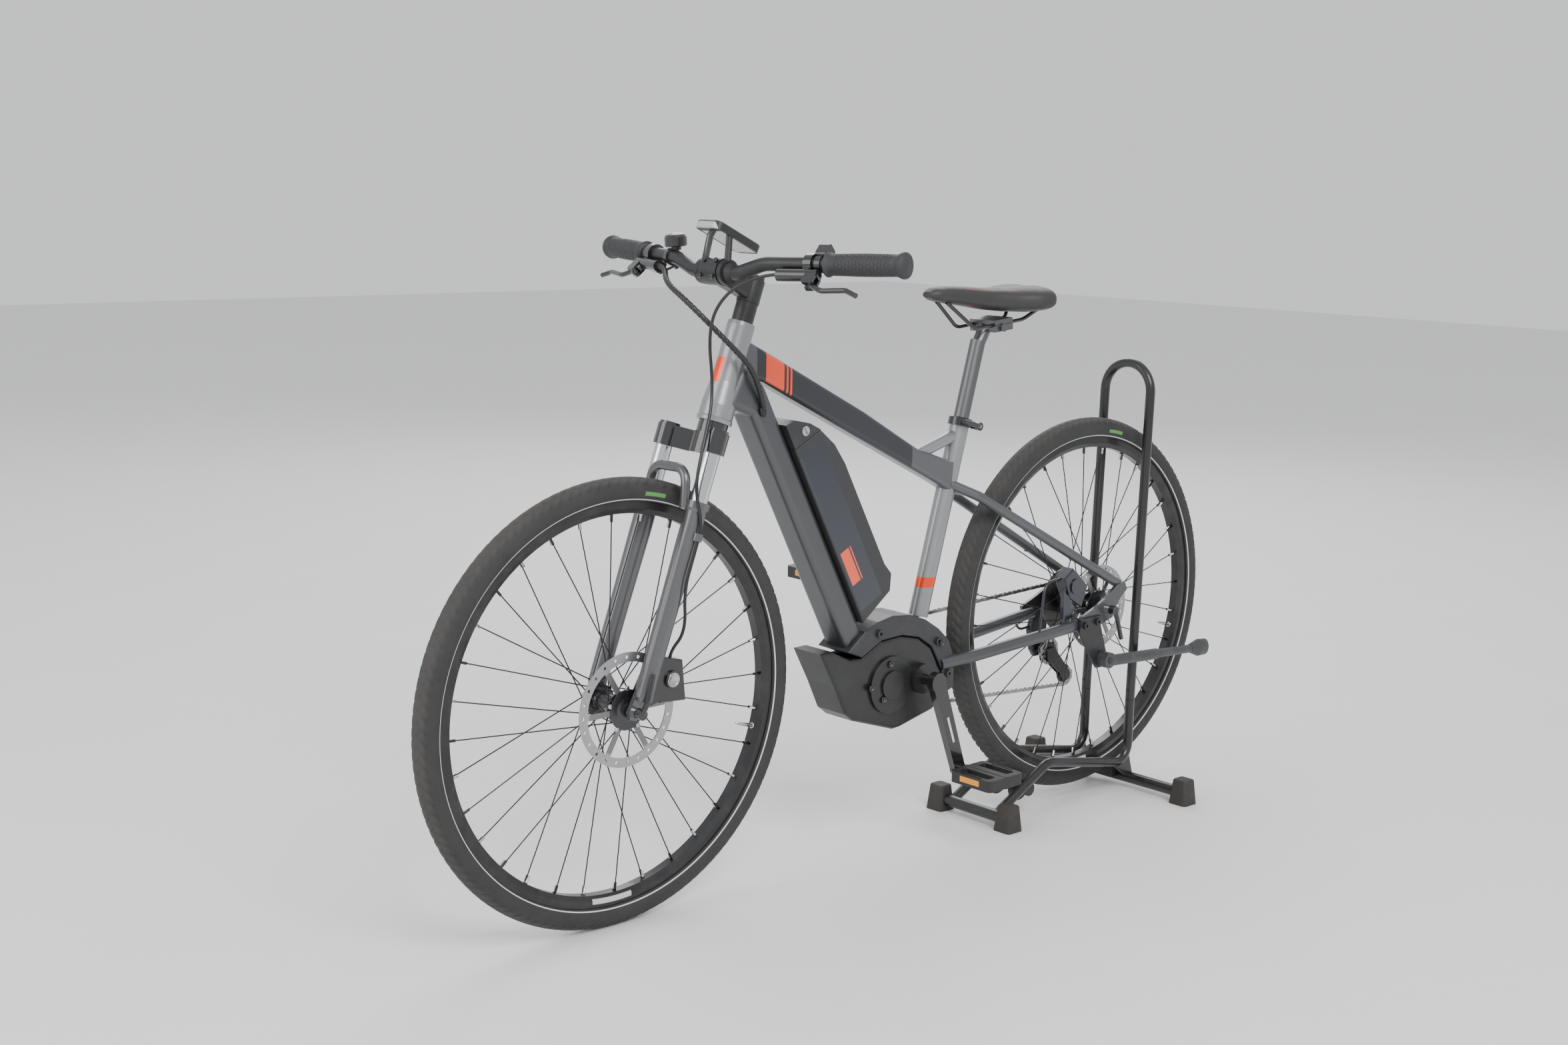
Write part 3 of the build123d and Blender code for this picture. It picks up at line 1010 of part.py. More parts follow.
with BuildPart() as brake_perches:
    for hand in (1, -1):
        clamp = bar_frame(hand, PERCH_IN)
        turned(clamp, [(BAR_RADIUS + 0.03, -7), (16, -7), (16, 7), (BAR_RADIUS + 0.03, 7)])
        # master cylinder beside the bar, pointing inboard, and the lever's fork
        rod(on(clamp, 23, 0, -50), on(clamp, 23, 0, 22), 9.5)
        rod(on(clamp, 18, 0, -5), on(clamp, 18, 0, 5), 8)
        with BuildSketch(Plane(origin=on(clamp, 34, 0, 14), x_dir=clamp.x_dir, z_dir=clamp.y_dir)):
            RectangleRounded(24, 20, 5)
        extrude(amount=9, both=True)
        with BuildSketch(Plane(origin=on(clamp, 42, 0, 14), x_dir=clamp.x_dir, z_dir=clamp.y_dir)):
            RectangleRounded(26, 30, 5)
        extrude(amount=4.6, both=True, mode=Mode.SUBTRACT)
        rod(on(clamp, LEVER_PIVOT_X, -9, 14), on(clamp, LEVER_PIVOT_X, 9, 14), 2.5)
        rod(bar_frame(hand, PERCH_IN + 60).origin, bar_frame(hand, PERCH_IN - 40).origin,
                BAR_RADIUS + 0.03, mode=Mode.SUBTRACT)
brake_perches.part.label = "brake_perches"
export_step(brake_perches.part, "parts/brake_perches.step")

for hand, name in ((1, "brake_lever_left"), (-1, "brake_lever_right")):
    clamp = bar_frame(hand, PERCH_IN)
    with BuildPart() as brake_lever:
        rod(on(clamp, LEVER_PIVOT_X, -4.2, 14), on(clamp, LEVER_PIVOT_X, 4.2, 14), 7)
        bent([on(clamp, LEVER_PIVOT_X, 0, 14), on(clamp, LEVER_PIVOT_X + 14, 0, 40), on(clamp,
                LEVER_PIVOT_X + 12, 0, 84),
              on(clamp, LEVER_PIVOT_X + 22, 0, 106)], [26, 20], 4.1)
        rod(on(clamp, LEVER_PIVOT_X, -6, 14), on(clamp, LEVER_PIVOT_X, 6, 14), 2.55, mode=Mode.SUBTRACT)
    brake_lever.part.label = name
    export_step(brake_lever.part, f"parts/{name}.step")

POD_IN = 146.0
BELL_IN = 226.0

with BuildPart() as bar_controls:
    # right: shifter pod and bell; left: the drive's switch pod
    for hand, spot in ((-1, (4, -21)), (1, (-19, -4))):
        pod = bar_frame(hand, POD_IN)
        turned(pod, [(BAR_RADIUS + 0.03, -5), (13.2, -5), (13.2, 5), (BAR_RADIUS + 0.03, 5)])
        with BuildSketch(pod.offset(-9)):
            with Locations(spot):
                RectangleRounded(24, 22, 6)
        extrude(amount=18)
        rod(pod.offset(-12).origin, pod.offset(12).origin, BAR_RADIUS + 0.03, mode=Mode.SUBTRACT)
        if hand > 0:
            # pocket for the mode button
            rod(on(pod, -40, -4, 0), on(pod, -28, -4, 0), 5.05, mode=Mode.SUBTRACT)
    bell = bar_frame(-1, BELL_IN)
    turned(bell, [(BAR_RADIUS + 0.03, -5), (14, -5), (14, 5), (BAR_RADIUS + 0.03, 5)])
    bell_base = Plane(origin=on(bell, -13, 3, 0), x_dir=bell.z_dir, z_dir=toward(0.1, 0, 1))
    turned(bell_base, [(0, 0), (8, 0), (8, 6), (17, 6), (18, 8), (18, 21), (15, 25), (8, 27), (0, 27.5)])
    rod(bell.offset(-9).origin, bell.offset(9).origin, BAR_RADIUS + 0.03, mode=Mode.SUBTRACT)
bar_controls.part.label = "bar_controls"
export_step(bar_controls.part, "parts/bar_controls.step")

with BuildPart() as mode_button:
    pod = bar_frame(1, POD_IN)
    rod(on(pod, -33.5, -4, 0), on(pod, -29.4, -4, 0), 5)
mode_button.part.label = "mode_button"
export_step(mode_button.part, "parts/mode_button.step")

with BuildPart() as shift_lever:
    # thumb paddle under the pod, turning about a pin across it
    pod = bar_frame(-1, POD_IN)
    rod(on(pod, 4, -32.2, 0), on(pod, 4, -37.2, 0), 7)
    bent([on(pod, 4, -34.7, 0), on(pod, 0, -34.7, -16), on(pod, -12, -34.7, -30)], [14], 2)
    rod(on(pod, -12, -39, -30), on(pod, -12, -31, -30), 6)
shift_lever.part.label = "shift_lever"
export_step(shift_lever.part, "parts/shift_lever.step")

DISPLAY_TILT = 26.0

with BuildPart() as display:
    face = Plane(origin=at(871, 0, 1066), x_dir=toward(cos(radians(DISPLAY_TILT)), 0,
            sin(radians(DISPLAY_TILT))),
                 z_dir=toward(-sin(radians(DISPLAY_TILT)), 0, cos(radians(DISPLAY_TILT))))
    with BuildSketch(face):
        RectangleRounded(98, 57, 12)
    extrude(amount=-13)
    chamfer(display.faces().sort_by(Axis(face.origin, face.z_dir))[-1].edges(), length=1.5)
    for hand in (1, -1):
        ring = Plane(origin=at(BAR_CLAMP[0], hand * 27, BAR_CLAMP[1]), x_dir=UPWARD, z_dir=LEFT)
        turned(ring, [(CLAMP_RADIUS + 0.05, -4), (20, -4), (20, 4), (CLAMP_RADIUS + 0.05, 4)])
        rod(at(BAR_CLAMP[0], hand * 27, BAR_CLAMP[1] + 17), at(890, hand * 22, 1067), 5.5)
display.part.label = "display"
export_step(display.part, "parts/display.step")

# ---------------------------------------------------------------- hoses and looms between the moving groups
LOOM_RADIUS = 4.5
LEFT_PERCH = bar_frame(1, PERCH_IN)
RIGHT_PERCH = bar_frame(-1, PERCH_IN)
LEFT_EXIT = on(LEFT_PERCH, 23, 0, -50.05)
RIGHT_EXIT = on(RIGHT_PERCH, 23, 0, -50.05)

with BuildPart() as hoses:
    # spiral-wrapped loom: right brake, across the head, down the left side into the down tube
    bent([RIGHT_EXIT, on(RIGHT_PERCH, 23, 0, -72), at(952, -58, 990), at(962, 4, 966), at(912, 44, 902),
            at(852, 46, 850),
          at(828, 33, 792)], [9, 26, 30, 60, 30], LOOM_RADIUS)
    # front brake hose: left brake, down past the head tube, out to the left fork leg and its caliper
    bent([LEFT_EXIT, on(LEFT_PERCH, 23, 0, -70), at(934, 72, 986), at(944, 34, 930), on(STEER, 52, 44, 28),
            on(STEER, 64, 66, -46),
          on(STEER, 66, 76, -120), on(STEER, HOSE_X, HOSE_Y, -168), on(STEER, HOSE_X, HOSE_Y, -272),
          on(STEER, -3, HOSE_Y - 13, -332), at(1030, FRONT_ROTOR_Y + 9, 432), at(1026, FRONT_ROTOR_Y + 5,
                  418)],
         [9, 26, 40, 50, 60, 24, 24, 30, 20, 6], HOSE_RADIUS)
    add(down_tube.part, mode=Mode.SUBTRACT)
    add(front_caliper.part, mode=Mode.SUBTRACT)
hoses.part.label = "hoses"
export_step(hoses.part, "parts/hoses.step")
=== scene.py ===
"""Looks of a trekking bicycle with a mid motor, held by its rear wheel in a low tubular floor stand."""

import json
from math import cos, pi, radians, sin

import bpy
import numpy as np
from mathutils import Matrix, Vector


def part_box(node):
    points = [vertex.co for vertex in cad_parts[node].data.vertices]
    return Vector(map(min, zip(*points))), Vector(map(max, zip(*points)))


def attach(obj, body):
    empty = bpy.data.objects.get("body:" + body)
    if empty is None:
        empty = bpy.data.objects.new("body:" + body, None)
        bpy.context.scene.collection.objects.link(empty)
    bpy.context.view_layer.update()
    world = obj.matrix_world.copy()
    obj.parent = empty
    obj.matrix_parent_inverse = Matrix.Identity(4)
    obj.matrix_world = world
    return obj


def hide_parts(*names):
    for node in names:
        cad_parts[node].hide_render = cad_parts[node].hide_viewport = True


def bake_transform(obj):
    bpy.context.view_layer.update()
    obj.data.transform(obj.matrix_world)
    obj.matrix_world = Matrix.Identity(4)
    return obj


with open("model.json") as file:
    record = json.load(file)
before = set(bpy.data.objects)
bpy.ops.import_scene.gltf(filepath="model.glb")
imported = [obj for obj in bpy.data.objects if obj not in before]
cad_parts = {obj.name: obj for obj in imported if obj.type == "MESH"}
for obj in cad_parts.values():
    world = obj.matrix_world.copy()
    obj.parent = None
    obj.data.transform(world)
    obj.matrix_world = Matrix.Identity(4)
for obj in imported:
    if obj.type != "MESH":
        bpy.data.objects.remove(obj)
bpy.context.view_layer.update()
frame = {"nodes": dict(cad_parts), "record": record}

bl_info = {
    "name": "Trekking bicycle on a floor stand",
    "version": (1, 0, 0),
    "blender": (4, 5, 0),
    "location": "View3D > Sidebar > Bicycle",
    "description": "Builds the soft pieces, chain, trim and finishes of a bicycle on its stand",
    "category": "Add Mesh",
}

JOINTS = {joint["name"]: joint for joint in frame["record"]["behaviour"]["joints"]}
MM = 0.001
CHAIN_PITCH = 12.7 * MM
RING_TEETH, COG_TEETH, JOCKEY_TEETH = 40, 16, 11
PLATE_LENGTH, PLATE_HEIGHT, PLATE_THICK = 9.6 * MM, 4.0 * MM, 0.8 * MM  # half, half and whole
OUTER_PLATE, INNER_PLATE = 2.6 * MM, 1.7 * MM  # from the chain's middle
ROLLER_RADIUS, ROLLER_WIDTH = 3.5 * MM, 4.0 * MM
BRICK_ROW = 6.2 * MM


# ---------------------------------------------------------------- sizes and colours


def length_setting(name, description, default):
    return bpy.props.FloatProperty(name=name, description=description, default=default, unit="LENGTH")


def angle_setting(name, description, degrees):
    return bpy.props.FloatProperty(name=name, description=description, default=radians(degrees),
            subtype="ANGLE")


def colour_setting(name, description, default):
    return bpy.props.FloatVectorProperty(name=name, description=description, default=default,
            subtype="COLOR")


class TyreSizes(bpy.types.PropertyGroup):
    width: length_setting("Width", "Width of the tyre", 42 * MM)
    radius: length_setting("Radius", "Outer radius", 353 * MM)
    bead: length_setting("Bead radius", "Where it meets the rim", 317.4 * MM)
    groove: length_setting("Groove", "Depth of the tread", 1.5 * MM)
    lugs: bpy.props.IntProperty(name="Lugs", description="Tread blocks round the tyre", default=120)
    colour: colour_setting("Rubber", "Colour of the rubber", (0.022, 0.022, 0.023))


class TouchSizes(bpy.types.PropertyGroup):
    grip_groove: length_setting("Grip groove", "Depth of the grip's brick pattern", 0.9 * MM)
    loom: length_setting("Loom radius", "Radius of the wrapped loom", 4.5 * MM)
    hose: bpy.props.FloatProperty(name="Hose radius", description="Radius of the front brake hose",
            default=2.6 * MM,
                                  unit="LENGTH")
    wrap: length_setting("Wrap pitch", "Pitch of the spiral wrap", 9 * MM)


class PaintColours(bpy.types.PropertyGroup):
    frame: colour_setting("Frame", "Metallic frame paint", (0.105, 0.108, 0.115))
    silver: colour_setting("Tubes", "Lighter head and seat tubes", (0.27, 0.275, 0.28))
    panel: colour_setting("Panel", "Charcoal top tube panel", (0.018, 0.02, 0.025))
    accent: colour_setting("Accent", "Orange-red accents", (0.85, 0.075, 0.02))
    floor: colour_setting("Floor", "Floor of the stage", (0.8, 0.8, 0.79))


def sizes(group):
    return getattr(bpy.context.scene, group)


def corners(node):
    """Lowest and highest corner of a CAD node."""
    return [np.array(corner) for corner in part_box(node)]


# ---------------------------------------------------------------- shader maths


class Value:
    """A socket that adds Math nodes when it is used in an expression."""

    def __init__(self, look, socket):
        self.look = look
        self.socket = socket

    def maths(self, operation, first, second=None):
        inputs = [item for item in (first, second) if item is not None]
        node = self.look.node("ShaderNodeMath", {"operation": operation}, dict(enumerate(inputs)))
        return Value(self.look, node.outputs[0])

    def __add__(self, other):
        return self.maths("ADD", self, other)

    def __radd__(self, other):
        return self.maths("ADD", other, self)

    def __sub__(self, other):
        return self.maths("SUBTRACT", self, other)

    def __rsub__(self, other):
        return self.maths("SUBTRACT", other, self)

    def __mul__(self, other):
        return self.maths("MULTIPLY", self, other)

    def __truediv__(self, other):
        return self.maths("DIVIDE", self, other)

    def __abs__(self):
        return self.maths("ABSOLUTE", self)

    def power(self, other):
        return self.maths("POWER", self, other)

    def most(self, other):
        return self.maths("MAXIMUM", self, other)

    def above(self, edge, soft):
        """0 below the edge, 1 above it, with a soft step."""
        settings = {"interpolation_type": "SMOOTHSTEP"}
        node = self.look.node("ShaderNodeMapRange", settings, {0: self, 1: edge - soft, 2: edge + soft,
                3: 0.0, 4: 1.0})
        return Value(self.look, node.outputs[0])

    def inside(self, low, high, soft):
        """1 between low and high, 0 outside."""
        return self.above(low, soft) * (1 - self.above(high, soft))


class Look:
    """One material: places, noises, mixes and the closing Principled shader."""

    def __init__(self, name):
        self.material = bpy.data.materials.new(name)
        self.material.use_nodes = True
        self.tree = self.material.node_tree
        self.shader = self.tree.nodes["Principled BSDF"]
        self.point = None

    def node(self, kind, settings, inputs):
        made = self.tree.nodes.new(kind)
        for key, value in settings.items():
            setattr(made, key, value)
        for key, value in inputs.items():
            self.feed(made.inputs[key], value)
        return made

    def feed(self, socket, value):
        if isinstance(value, Value):
            self.tree.links.new(value.socket, socket)
        else:
            socket.default_value = value

    def place(self):
        """The point in the row frame, in metres, and its three parts."""
        if self.point is None:
            self.point = Value(self, self.node("ShaderNodeTexCoord", {}, {}).outputs["Object"])
        split = self.node("ShaderNodeSeparateXYZ", {}, {0: self.point})
        return [Value(self, split.outputs[axis]) for axis in range(3)]

    def round_wheel(self, which):
        """Distance across the bicycle, ahead of and above a wheel's centre, and from its axis."""
        centre = wheel_centre(which)
        x, y, z = self.place()
        dx, dz = x - centre[0], z - centre[2]
        return y, dx, dz, (dx * dx + dz * dz).power(0.5)

    def stretched(self, scale):
        self.place()
        node = self.node("ShaderNodeVectorMath", {"operation": "MULTIPLY"}, {0: self.point, 1: scale})
        return Value(self, node.outputs[0])

    def noise(self, scale, detail=2.0, rough=0.5, stretch=(1.0, 1.0, 1.0)):
        where = self.stretched(stretch)
        inputs = {"Vector": where, "Scale": scale, "Detail": detail, "Roughness": rough}
        return Value(self, self.node("ShaderNodeTexNoise", {}, inputs).outputs["Fac"])

    def cells(self, scale):
        where = self.stretched((1.0, 1.0, 1.0))
        return Value(self, self.node("ShaderNodeTexVoronoi", {}, {"Vector": where,
                "Scale": scale}).outputs["Distance"])

    def mix(self, low, high, factor):
        """Colour low where the factor is 0 and high where it is 1."""
        node = self.node("ShaderNodeMix", {"data_type": "RGBA"}, {0: factor})
        for socket, colour in ((node.inputs[6], low), (node.inputs[7], high)):
            self.feed(socket, colour if isinstance(colour, Value) else (*colour, 1.0))
        return Value(self, node.outputs[2])

    def bump(self, height, depth):
        """Relief of the given depth in metres."""
        node = self.node("ShaderNodeBump", {}, {"Strength": 1.0, "Distance": depth, "Height": height})
        return Value(self, node.outputs[0])

    def finish(self, colour, roughness, metallic=0.0, coat=0.0, normal=None):
        self.feed(self.shader.inputs["Base Color"], colour if isinstance(colour, Value) else (*colour, 1.0))
        self.feed(self.shader.inputs["Roughness"], roughness)
        self.feed(self.shader.inputs["Metallic"], metallic)
        self.feed(self.shader.inputs["Coat Weight"], coat)
        if normal is not None:
            self.feed(self.shader.inputs["Normal"], normal)
        return self.material


def shade(colour, factor):
    return tuple(min(1.0, part * factor) for part in colour)


def speckled(look, colour, scale, spread):
    """The colour, lighter and darker by the spread, in patches of the given scale."""
    return look.mix(shade(colour, 1 - spread), shade(colour, 1 + spread), look.noise(scale, 4.0))


def flaked(look, colour):
    """The colour with a slow drift and fine bright flakes."""
    flake = look.noise(2600.0, 1.0).above(0.62, 0.06) * 0.35
    return look.mix(speckled(look, colour, 9.0, 0.08), shade(colour, 1.7), flake)


def metallic_paint(name, colour, roughness=0.36):
    """Metal flake paint: fine sparkle over a slow drift, under a thin clear coat with orange peel."""
    look = Look(name)
    base = flaked(look, colour)
    rough = look.noise(40.0, 3.0) * 0.1 + (roughness - 0.05)
    return look.finish(base, rough, 0.65, 0.25, look.bump(look.noise(420.0, 1.0), 0.00002))


def gloss_paint(name, colour, roughness=0.14):
    """Smooth lacquer with faint dust and a light orange peel."""
    look = Look(name)
    dust = look.noise(60.0, 5.0, 0.7)
    base = look.mix(speckled(look, colour, 14.0, 0.1), shade(colour, 2.2), dust.above(0.62, 0.1) * 0.3)
    return look.finish(base, dust * 0.14 + roughness, 0.1, 0.6, look.bump(look.noise(300.0, 1.0), 0.00002))


def black_steel(name):
    """Satin black coat over tube, with fine bright scuffs and rubbed patches."""
    look = Look(name)
    scuffs = look.noise(55.0, 8.0, 0.75, (1.0, 5.0, 1.0)).above(0.66, 0.02)
    worn = look.noise(9.0, 5.0, 0.6).above(0.6, 0.1) * 0.35
    base = look.mix(speckled(look, (0.014, 0.014, 0.015), 30.0, 0.3), (0.24, 0.23, 0.22), scuffs * 0.5
            + scuffs * worn)
    rough = look.noise(80.0, 4.0) * 0.16 + 0.24
    return look.finish(base, rough + worn * 0.25, 0.2, 0.35, look.bump(look.noise(350.0, 2.0) - scuffs
            * 0.4, 0.00006))


def moulded(name, colour, roughness=0.5, grain=1100.0):
    """Moulded plastic or rubber: fine spark-eroded grain and a little dust."""
    look = Look(name)
    skin = look.noise(grain, 2.0)
    dust = look.noise(26.0, 5.0, 0.7).above(0.58, 0.12) * 0.25
    base = look.mix(speckled(look, colour, 45.0, 0.14), shade(colour, 2.6), dust)
    return look.finish(base, look.noise(90.0, 3.0) * 0.14 + (roughness - 0.07), 0.0, 0.0, look.bump(skin,
            0.00007))


def metal(name, colour, roughness=0.3, stretch=(1.0, 14.0, 1.0), metallic=1.0):
    """Bare or plated metal with drawn lines along one way."""
    look = Look(name)
    lines = look.noise(260.0, 4.0, 0.6, stretch)
    base = look.mix(shade(colour, 0.8), shade(colour, 1.15), lines)
    return look.finish(base, lines * 0.16 + (roughness - 0.08), metallic, 0.0, look.bump(lines, 0.00003))


def chrome(name):
    look = Look(name)
    haze = look.noise(34.0, 5.0, 0.6)
    return look.finish(look.mix((0.72, 0.73, 0.75), (0.62, 0.63, 0.65), haze), haze * 0.06 + 0.05, 1.0, 0.0,
                       look.bump(haze, 0.000005))


# ---------------------------------------------------------------- mesh helpers


def node_points(node):
    """All vertices of a CAD node as an array."""
    mesh = frame["nodes"][node].data
    flat = np.empty(len(mesh.vertices) * 3)
    mesh.vertices.foreach_get("co", flat)
    return flat.reshape(-1, 3)


def grid_faces(rows, columns, wrap_rows, wrap_columns):
    """Quads between the neighbours of a grid of rows by columns, numbered row by row."""
    r = np.arange(rows if wrap_rows else rows - 1)
    c = np.arange(columns if wrap_columns else columns - 1)
    r, c = [part.ravel() for part in np.meshgrid(r, c, indexing="ij")]
    r2, c2 = (r + 1) % rows, (c + 1) % columns
    return np.stack([r * columns + c, r * columns + c2, r2 * columns + c2, r2 * columns + c], axis=1)


def surface(grid, wrap_rows=False):
    """Vertices and faces of a grid (rows, columns, 3) whose columns run round a closed section. Open ends
    are closed by fans."""
    rows, columns = grid.shape[:2]
    points = grid.reshape(-1, 3)
    faces = grid_faces(rows, columns, wrap_rows, True).tolist()
    if not wrap_rows:
        points = np.vstack([points, grid[0].mean(axis=0), grid[-1].mean(axis=0)])
        ring = np.arange(columns)
        after = (ring + 1) % columns
        first, last = rows * columns, rows * columns + 1
        low = np.stack([ring * 0 + first, after, ring], axis=1)
        top = (rows - 1) * columns
        high = np.stack([ring * 0 + last, ring + top, after + top], axis=1)
        faces += low.tolist() + high.tolist()
    return points, faces


def volume(points, faces):
    """Signed volume of a closed surface: the sum of the fans' tetrahedra to the origin."""
    total = 0.0
    for corners in (3, 4):
        rings = np.array([face for face in faces if len(face) == corners])
        for turn in range(1, corners - 1):
            if len(rings):
                a, b, c = points[rings[:, 0]], points[rings[:, turn]], points[rings[:, turn + 1]]
                total += np.einsum("ij,ij->i", a, np.cross(b, c)).sum() / 6
    return total


def piece(name, parts, material, smooth=True):
    """One mesh object from several closed surfaces, each turned outwards."""
    points, faces, start = [], [], 0
    for part_points, part_faces in parts:
        if volume(part_points, part_faces) < 0:
            part_faces = [face[::-1] for face in part_faces]
        points.append(part_points)
        faces += [[index + start for index in face] for face in part_faces]
        start += len(part_points)
    mesh = bpy.data.meshes.new(name)
    mesh.from_pydata(np.vstack(points).tolist(), [], faces)
    mesh.polygons.foreach_set("use_smooth", [smooth] * len(mesh.polygons))
    mesh.materials.append(material)
    mesh.update()
    made = bpy.data.objects.new(name, mesh)
    bpy.context.scene.collection.objects.link(made)
    return made


def square_to(axis):
    """Two unit vectors square to an axis and to each other."""
    axis = np.asarray(axis, float)
    axis = axis / np.linalg.norm(axis)
    side = np.cross(axis, (0.0, 0.0, 1.0) if abs(axis[2]) < 0.9 else (1.0, 0.0, 0.0))
    side /= np.linalg.norm(side)
    return axis, side, np.cross(axis, side)


def turned(centre, axis, profile, around=32):
    """A profile of (radius, height) turned round an axis:
    point = centre + height*axis + radius*(cos*side + sin*up)."""
    axis, side, up = square_to(axis)
    angle = np.linspace(0, 2 * pi, around, endpoint=False)
    ring = np.cos(angle)[:, None] * side + np.sin(angle)[:, None] * up
    radius, height = np.array(profile, float).T
    grid = np.asarray(centre) + height[:, None, None] * axis + radius[:, None, None] * ring
    return surface(grid)


def bolt(centre, axis, radius, height):
    """A socket cap screw: rounded head with a round hollow."""
    profile = [(radius, 0), (radius, height * 0.8), (radius * 0.9, height), (radius * 0.55, height),
               (radius * 0.5, height * 0.45), (radius * 0.02, height * 0.4)]
    return turned(centre, axis, profile, 18)


# ---------------------------------------------------------------- wheels and tyres


def wheel_centre(which):
    return np.array(JOINTS[f"{which}_wheel_turn"]["pos_m"])


def tyre_surface(which, tyre):
    """A torus of a section angle and a wheel angle. The section's radius drops by the tread's depth where
    the slanted cross grooves (a cosine of wheel angle plus slant) and the two ring grooves run. Below the
    bead it is flat."""
    steps = 8
    count = tyre.lugs * steps
    wheel = np.linspace(0, 2 * pi, count, endpoint=False)[:, None]
    section = np.linspace(-pi, pi, 56, endpoint=False)[None, :]
    tube = tyre.width / 2
    across = np.degrees(section)
    slant = np.abs(across) / 24.0
    wave = np.cos(wheel * tyre.lugs + slant * pi)
    cross_groove = np.clip((wave - 0.45) / 0.35, 0, 1) * (np.abs(across) > 7) * (np.abs(across) < 62)
    ring_groove = (np.abs(np.abs(across) - 24) < 3.4) * 0.8 + wave * 0
    depth = np.maximum(cross_groove, ring_groove) * tyre.groove
    shoulder = 0.35 * MM * (np.abs(np.abs(across) - 76) < 4)
    radius = tube - depth - shoulder
    out = tyre.radius - tube + radius * np.cos(section)
    side = radius * np.sin(section) + wheel * 0
    out = np.maximum(out, tyre.bead)
    centre = wheel_centre(which)
    grid = np.stack([centre[0] + out * np.cos(wheel), centre[1] + side, centre[2] + out * np.sin(wheel)],
            axis=-1)
    return surface(grid, wrap_rows=True)


def tyre_rubber(which):
    """Dusty rubber, a slim reflective ring on both walls, moulded rings, and a plain green label a side."""
    look = Look(f"tyre rubber {which}")
    tyre = sizes("bike_tyres")
    y, dx, dz, radius = look.round_wheel(which)
    wall = abs(y).above(0.013, 0.001)
    ring = radius.inside(0.3196, 0.3212, 0.0003) * wall
    dust = look.noise(22.0, 6.0, 0.7).above(0.5, 0.2)
    crown = radius.above(0.346, 0.004)
    rubber = look.mix(speckled(look, tuple(tyre.colour), 50.0, 0.15), (0.075, 0.07, 0.064), dust * 0.25
            + crown * 0.3)
    label = (dx + dz * 0.2).inside(-0.02, 0.02, 0.0006) * dz.above(0.2, 0.001) * radius.inside(0.327,
            0.333, 0.0006) * wall
    colour = look.mix(rubber, (0.1, 0.34, 0.07), label * 0.85)
    colour = look.mix(colour, (0.62, 0.63, 0.62), ring)
    rings = (radius * 2400.0).maths("SINE", radius * 2400.0) * wall * 0.25
    height = look.noise(700.0, 3.0) * 0.6 + rings + ring * 0.5
    return look.finish(colour, 0.72 - ring * 0.3 + dust * 0.1, 0.0, 0.0, look.bump(height, 0.00015))


def spoke_ends(which):
    """Angles at which the spokes meet the rim, from the outermost vertices of the spokes' solids."""
    points = node_points(f"{which}_spokes") - wheel_centre(which)
    radius = np.hypot(points[:, 0], points[:, 2])
    outer = points[radius > radius.max() - 3 * MM]
    angle = np.sort(np.arctan2(outer[:, 2], outer[:, 0]))
    gaps = np.diff(np.append(angle, angle[0] + 2 * pi))
    groups = np.split(angle, np.where(gaps > 0.03)[0] + 1)
    return [group.mean() for group in groups if len(group)], radius.max()


def wheel_trim(which):
    """Nipples where the spokes enter the rim, and the tube's valve with its knurled nut."""
    centre = wheel_centre(which)
    ends, reach = spoke_ends(which)
    parts = []
    for angle in ends:
        out = np.array([cos(angle), 0, sin(angle)])
        profile = [(1.2 * MM, -0.0125), (1.9 * MM, -0.012), (1.9 * MM, -0.004), (2.6 * MM, -0.003), (2.6
                * MM, 0.001)]
        parts.append(turned(centre + out * reach, out, profile, 8))
    nipples = piece(f"{which}_nipples", parts, metal("nickel", (0.6, 0.6, 0.6), 0.25))
    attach(nipples, f"{which}_wheel")
    gap = (ends[1] + ends[0]) / 2
    out = -np.array([cos(gap), 0, sin(gap)])
    stem = [(3.0 * MM, 0), (3.0 * MM, 0.028), (2.6 * MM, 0.029), (2.6 * MM, 0.036), (1.5 * MM, 0.037),
            (1.4 * MM, 0.041)]
    nut = [(3.2 * MM, 0.002), (5.2 * MM, 0.002), (5.2 * MM, 0.005), (3.2 * MM, 0.0055)]
    inner = centre - out * (reach + 4 * MM)
    valve = piece(f"{which}_valve", [turned(inner, out, stem, 14), turned(inner, out, nut, 14)],
                  metal("valve brass", (0.5, 0.5, 0.5), 0.22))
    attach(valve, f"{which}_wheel")


class BuildWheels(bpy.types.Operator):
    """Tyres with tread, nipples and valves."""

    bl_idname = "bike.wheels"
    bl_label = "Wheels"

    def execute(self, context):
        for which in ("front", "rear"):
            tyre = piece(f"{which}_tread_tyre", [tyre_surface(which, sizes("bike_tyres"))],
                    tyre_rubber(which))
            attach(tyre, f"{which}_wheel")
            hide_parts(f"{which}_tyre")
            wheel_trim(which)
        return {"FINISHED"}


# ---------------------------------------------------------------- grips, saddle, hoses


def bar_end(hand):
    """Axis of one grip from the CAD solid: its middle, the way outwards and how far it reaches each way."""
    points = node_points("grips")
    points = points[points[:, 1] * hand > 0]
    _, _, ways = np.linalg.svd(points - points.mean(axis=0), full_matrices=False)
    along = ways[0] * np.sign(ways[0][1] * hand)
    reach = (points - points.mean(axis=0)) @ along
    return points.mean(axis=0), along, reach.min(), reach.max()


